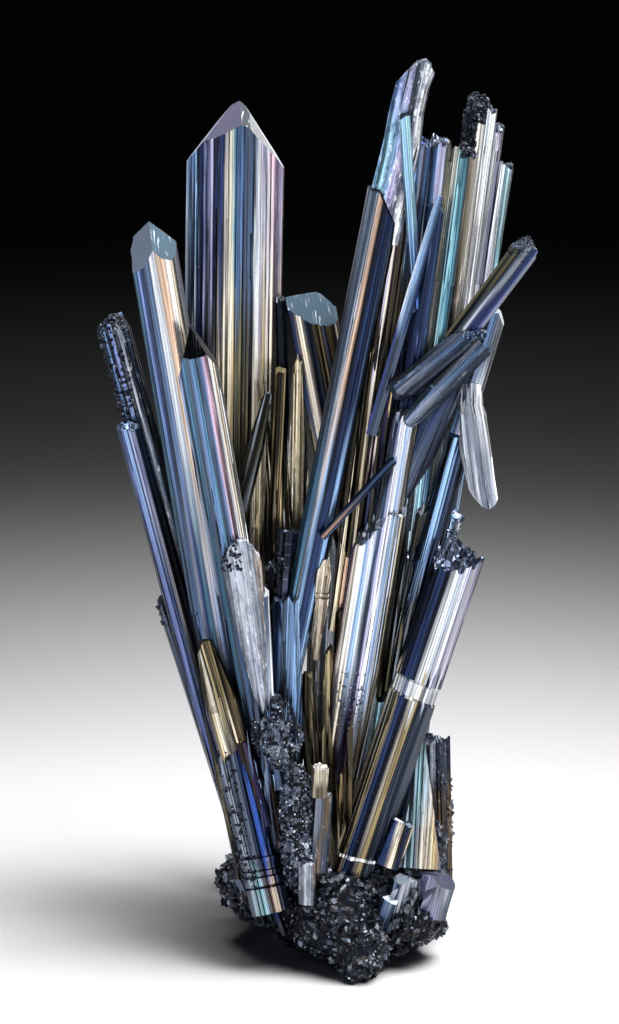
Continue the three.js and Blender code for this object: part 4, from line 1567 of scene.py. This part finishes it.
CRYSTALS = (
    Crystal("tall_sword_crystal", SWORD, strip=0.46 * MM, rings=6, broad=0.10),
    Crystal("left_spear_crystal", SPEAR, broad=0.3),
    Crystal("dark_tip_spear", DARK_TIP, broad=0.3),
    Crystal("long_front_blade", LONG_BLADE, strip=0.7 * MM, broad=0.35),
    Crystal(
        "right_column_crystal", RIGHT_COLUMN, strip=0.48 * MM, broken=HOLLOWED,
        seams=(Seam(0.60, 4.6 * MM, 0.45 * MM, 0.5, 0.1), Seam(0.13, 1.0 * MM, 0.3 * MM, 0.9, -0.1)),
    ),
    Crystal(
        "cream_column_crystal", CREAM_COLUMN, strip=0.42 * MM, broken=SPLINTERED,
        crusts=(Crust("cream_column_frost", 420, (0.3 * MM, 0.8 * MM), (0.15, 0.7), (0.14, 0.3), BLUE_GRAINS),),
    ),
    Crystal(
        "square_end_crystal", VIOLET_BLOCK,
        seams=tuple(Seam(p, 0.35 * MM, 0.5 * MM, -0.9, 0.05) for p in (0.12, 0.17, 0.2, 0.26)),
        crusts=(Crust("square_end_crust", 520, (0.5 * MM, 1.5 * MM), (0.0, 0.42), (0.12, 0.95)),),
    ),
    Crystal("golden_front_blade", GOLD_FRONT, strip=0.5 * MM),
    Crystal(
        "right_blade_cluster", CLUSTER, strip=0.46 * MM, broken=JAGGED,
        crusts=(
            Crust("cluster_tip_crust", 1500, (0.6 * MM, 1.6 * MM), (0.40, 0.60), (0.955, 1.0), CRUST_GRAINS,
                  "navy_stibnite"),
            Crust("cluster_side_crust", 1500, (0.6 * MM, 1.6 * MM), (0.37, 0.51), (0.90, 0.97), CRUST_GRAINS,
                  "navy_stibnite"),
        ),
    ),
    Crystal("deep_blue_blade", DEEP_BLUE, broken=JAGGED),
    Crystal("splintered_gold_blade", SPLINTERY, broken=SPLINTERED),
    Crystal("hooked_blade", HOOKED, strip=0.5 * MM, bent=True, broken=ROUGH),
    Crystal("navy_blade", NAVY_BLADE),
    Crystal("leaning_lath", LATH),
    Crystal("pale_lath", PALE_LATH),
    Crystal(
        "upper_arm_crystal", ARM,
        crusts=(Crust("upper_arm_tip_crust", 260, (0.3 * MM, 0.8 * MM), (0.0, 0.6), (0.84, 1.0)),),
    ),
    Crystal(
        "crossing_arm_upper", SLATE_ARM,
        crusts=(Crust("arm_knot", 140, (0.4 * MM, 1.3 * MM), (0.0, 1.0), (0.82, 1.0), BLUE_GRAINS),),
    ),
    Crystal("crossing_arm_lower", SLATE_ARM, broken=ROUGH),
    Crystal("slanted_blade", WHITE_EDGE),
    Crystal("drooping_blade", DROOPING, strip=0.5 * MM, bent=True),
    Crystal("leaf_blade", LEAF_BLUE, strip=0.45 * MM),
    Crystal("blue_flank_blade", FLANK_BLUE),
    Crystal(
        "small_pale_crystal", PALE, broken=ROUGH,
        crusts=(Crust("pale_crystal_druse", 150, (0.5 * MM, 1.5 * MM), (0.0, 1.0), (0.45, 0.95), BLUE_GRAINS),),
    ),
    Crystal("olive_shards", OLIVE_SHARD, broken=SPLINTERED),
    Crystal("diagonal_rod", ROD),
    Crystal("left_edge_blade", LEFT_EDGE, broken=ROUGH),
    Crystal(
        "crusted_crystal", CRUSTED,
        crusts=(
            Crust("crusted_crystal_crust", 1000, (0.35 * MM, 1.2 * MM), (0.0, 0.6), (0.72, 1.0)),
            Crust("crusted_crystal_cap", 260, (0.35 * MM, 1.1 * MM), (0.0, 0.9), (0.95, 1.0), DRUSE_GRAINS),
        ),
    ),
    Crystal(
        "outer_left_blade", INKY,
        crusts=(Crust("outer_left_crust", 60, (0.4 * MM, 1.1 * MM), (0.0, 1.0), (0.9, 1.0)),),
    ),
    Crystal(
        "frosted_blade", FROSTED, broken=ROUGH,
        crusts=(Crust("frosted_blade_crust", 240, (0.3 * MM, 1.1 * MM), (0.0, 0.5), (0.84, 1.0)),),
    ),
    Crystal("white_spike", WHITE_EDGE),
    Crystal("ridged_blue_blade", RIDGED_BLUE, broken=SPLINTERED),
    Crystal("notched_prism", BROWN_NOTCH, broken=ROUGH),
    Crystal(
        "pale_stub_crystal", CREAMY, broken=ROUGH,
        seams=(Seam(0.62, 0.3 * MM, 0.3 * MM, -1.0), Seam(0.67, 0.3 * MM, 0.3 * MM, -0.9)),
    ),
    Crystal(
        "stepped_block_crystal", INKY, broken=JAGGED,
        seams=tuple(Seam(p, 0.3 * MM, 0.3 * MM, -0.6) for p in (0.55, 0.66, 0.78, 0.88)),
        crusts=(Crust("stepped_block_rim", 120, (0.4 * MM, 1.1 * MM), (0.0, 0.6), (0.6, 0.8)),),
    ),
    Crystal("scratched_back_crystal", SCRATCHED),
    Crystal("pale_gold_crystal", PALE_GOLD, broken=JAGGED, relief=0.5 * MM),
    Crystal("gold_band_blade", GOLD_BAND),
    Crystal("grey_slab", INKY, broken=ROUGH),
    Crystal("thin_dark_blade", OLIVE_SHARD),
    Crystal("middle_shards", GOLD_FRONT, broken=SPLINTERED),
    Crystal("teal_thorn_blade", SEA_BLADE),
    Crystal(
        "brown_flank_column", BROWN_FLANK, broken=JAGGED,
        crusts=(Crust("brown_flank_crust", 800, (0.3 * MM, 1.0 * MM)),),
    ),
    Crystal("leaning_stub_prism", STUB, strip=0.8 * MM, broken=ROUGH),
    Crystal("tan_prism", TAN_LILAC, broken=ROUGH),
    Crystal("cream_cube", CREAMY, broken=ROUGH),
    Crystal("smooth_end_block", SMOOTH_BLOCK, relief=0.1 * MM, broad=0.6),
    Crystal("tabular_group", TABULAR),
    Crystal("grey_foot_blocks", FROSTED, broken=ROUGH),
    Crystal("back_tall_blade", DARK_TIP),
    Crystal("back_right_blade", CLUSTER),
    Crystal("back_left_spear", GOLD_FRONT),
    Crystal("back_middle_prism", CREAM_COLUMN, strip=0.48 * MM),
    Crystal("back_low_left_crystal", LEFT_EDGE),
    Crystal("back_low_right_crystal", RIDGED_BLUE),
    Crystal("back_stub_pair", RIGHT_COLUMN, broken=ROUGH),
)

SPLINTERS = (
    SplinterBundle("gap_needles", (11.4, -8, 112), (21.4, -7.5, 196), 44, SPLINTERY, (0.5, 1.4), (3.4, 4)),
    SplinterBundle("olive_needles", (20.4, -11, 72), (28.4, -9, 120), 30, OLIVE_SHARD, (0.7, 2.0), (4, 6)),
    SplinterBundle("middle_needles", (5.4, -25, 18), (3.4, -22, 74), 40, GOLD_FRONT, (0.8, 2.2), (5, 7)),
    SplinterBundle("left_foot_needles", (-15.6, -27, 18), (-27.6, -21, 72), 22, GOLD_FRONT, (0.8, 2), (4, 4)),
    SplinterBundle("dark_gap_needles", (-6.6, -3, 90), (-8.6, 1, 152), 26, SPLINTERY, (0.6, 1.6), (5, 6)),
    SplinterBundle("violet_shards", (-11.6, -29, 36), (-15.6, -28, 64), 16, LEFT_EDGE, (0.9, 2.2), (3, 3)),
    SplinterBundle("druse_shards", (-8.6, -26, 52), (-9.6, -28, 76), 18, RIDGED_BLUE, (1.2, 2.8), (4, 5), 0.5),
    SplinterBundle("base_right_shards", (21.4, -28, 10), (27.4, -36, 26), 14, TABULAR, (1.4, 3.2), (7, 5), 0.5),
    SplinterBundle(
        "base_left_shards", (-11.6, -25, 12), (-17.6, -31, 26), 14, VIOLET_BLOCK, (1.4, 3), (5, 4), 0.5
    ),
    SplinterBundle("back_needles", (3.4, 15, 18), (5.4, 33, 84), 48, RIDGED_BLUE, (1.0, 2.8), (12, 12)),
)

MASSES = (
    GranularMass("front_druse", DRUSE_GRAINS, 3600, (0.3 * MM, 1.1 * MM)),
    GranularMass("matrix_base", MATRIX_ROCK, 6200, (0.5 * MM, 2.3 * MM)),
)


def main() -> None:
    """Builds the spray and the studio."""
    logging.basicConfig(level=logging.INFO, format="%(message)s")
    Studio().build()
    total = 0
    for part in (*CRYSTALS, *SPLINTERS, *MASSES):
        for piece in part.build():
            triangles = sum(len(face.vertices) - 2 for face in piece.data.polygons)
            total += triangles
            LOG.info("%s: %d triangles", piece.name, triangles)
    LOG.info("%d triangles in all", total)


if __name__ == "__main__":
    main()
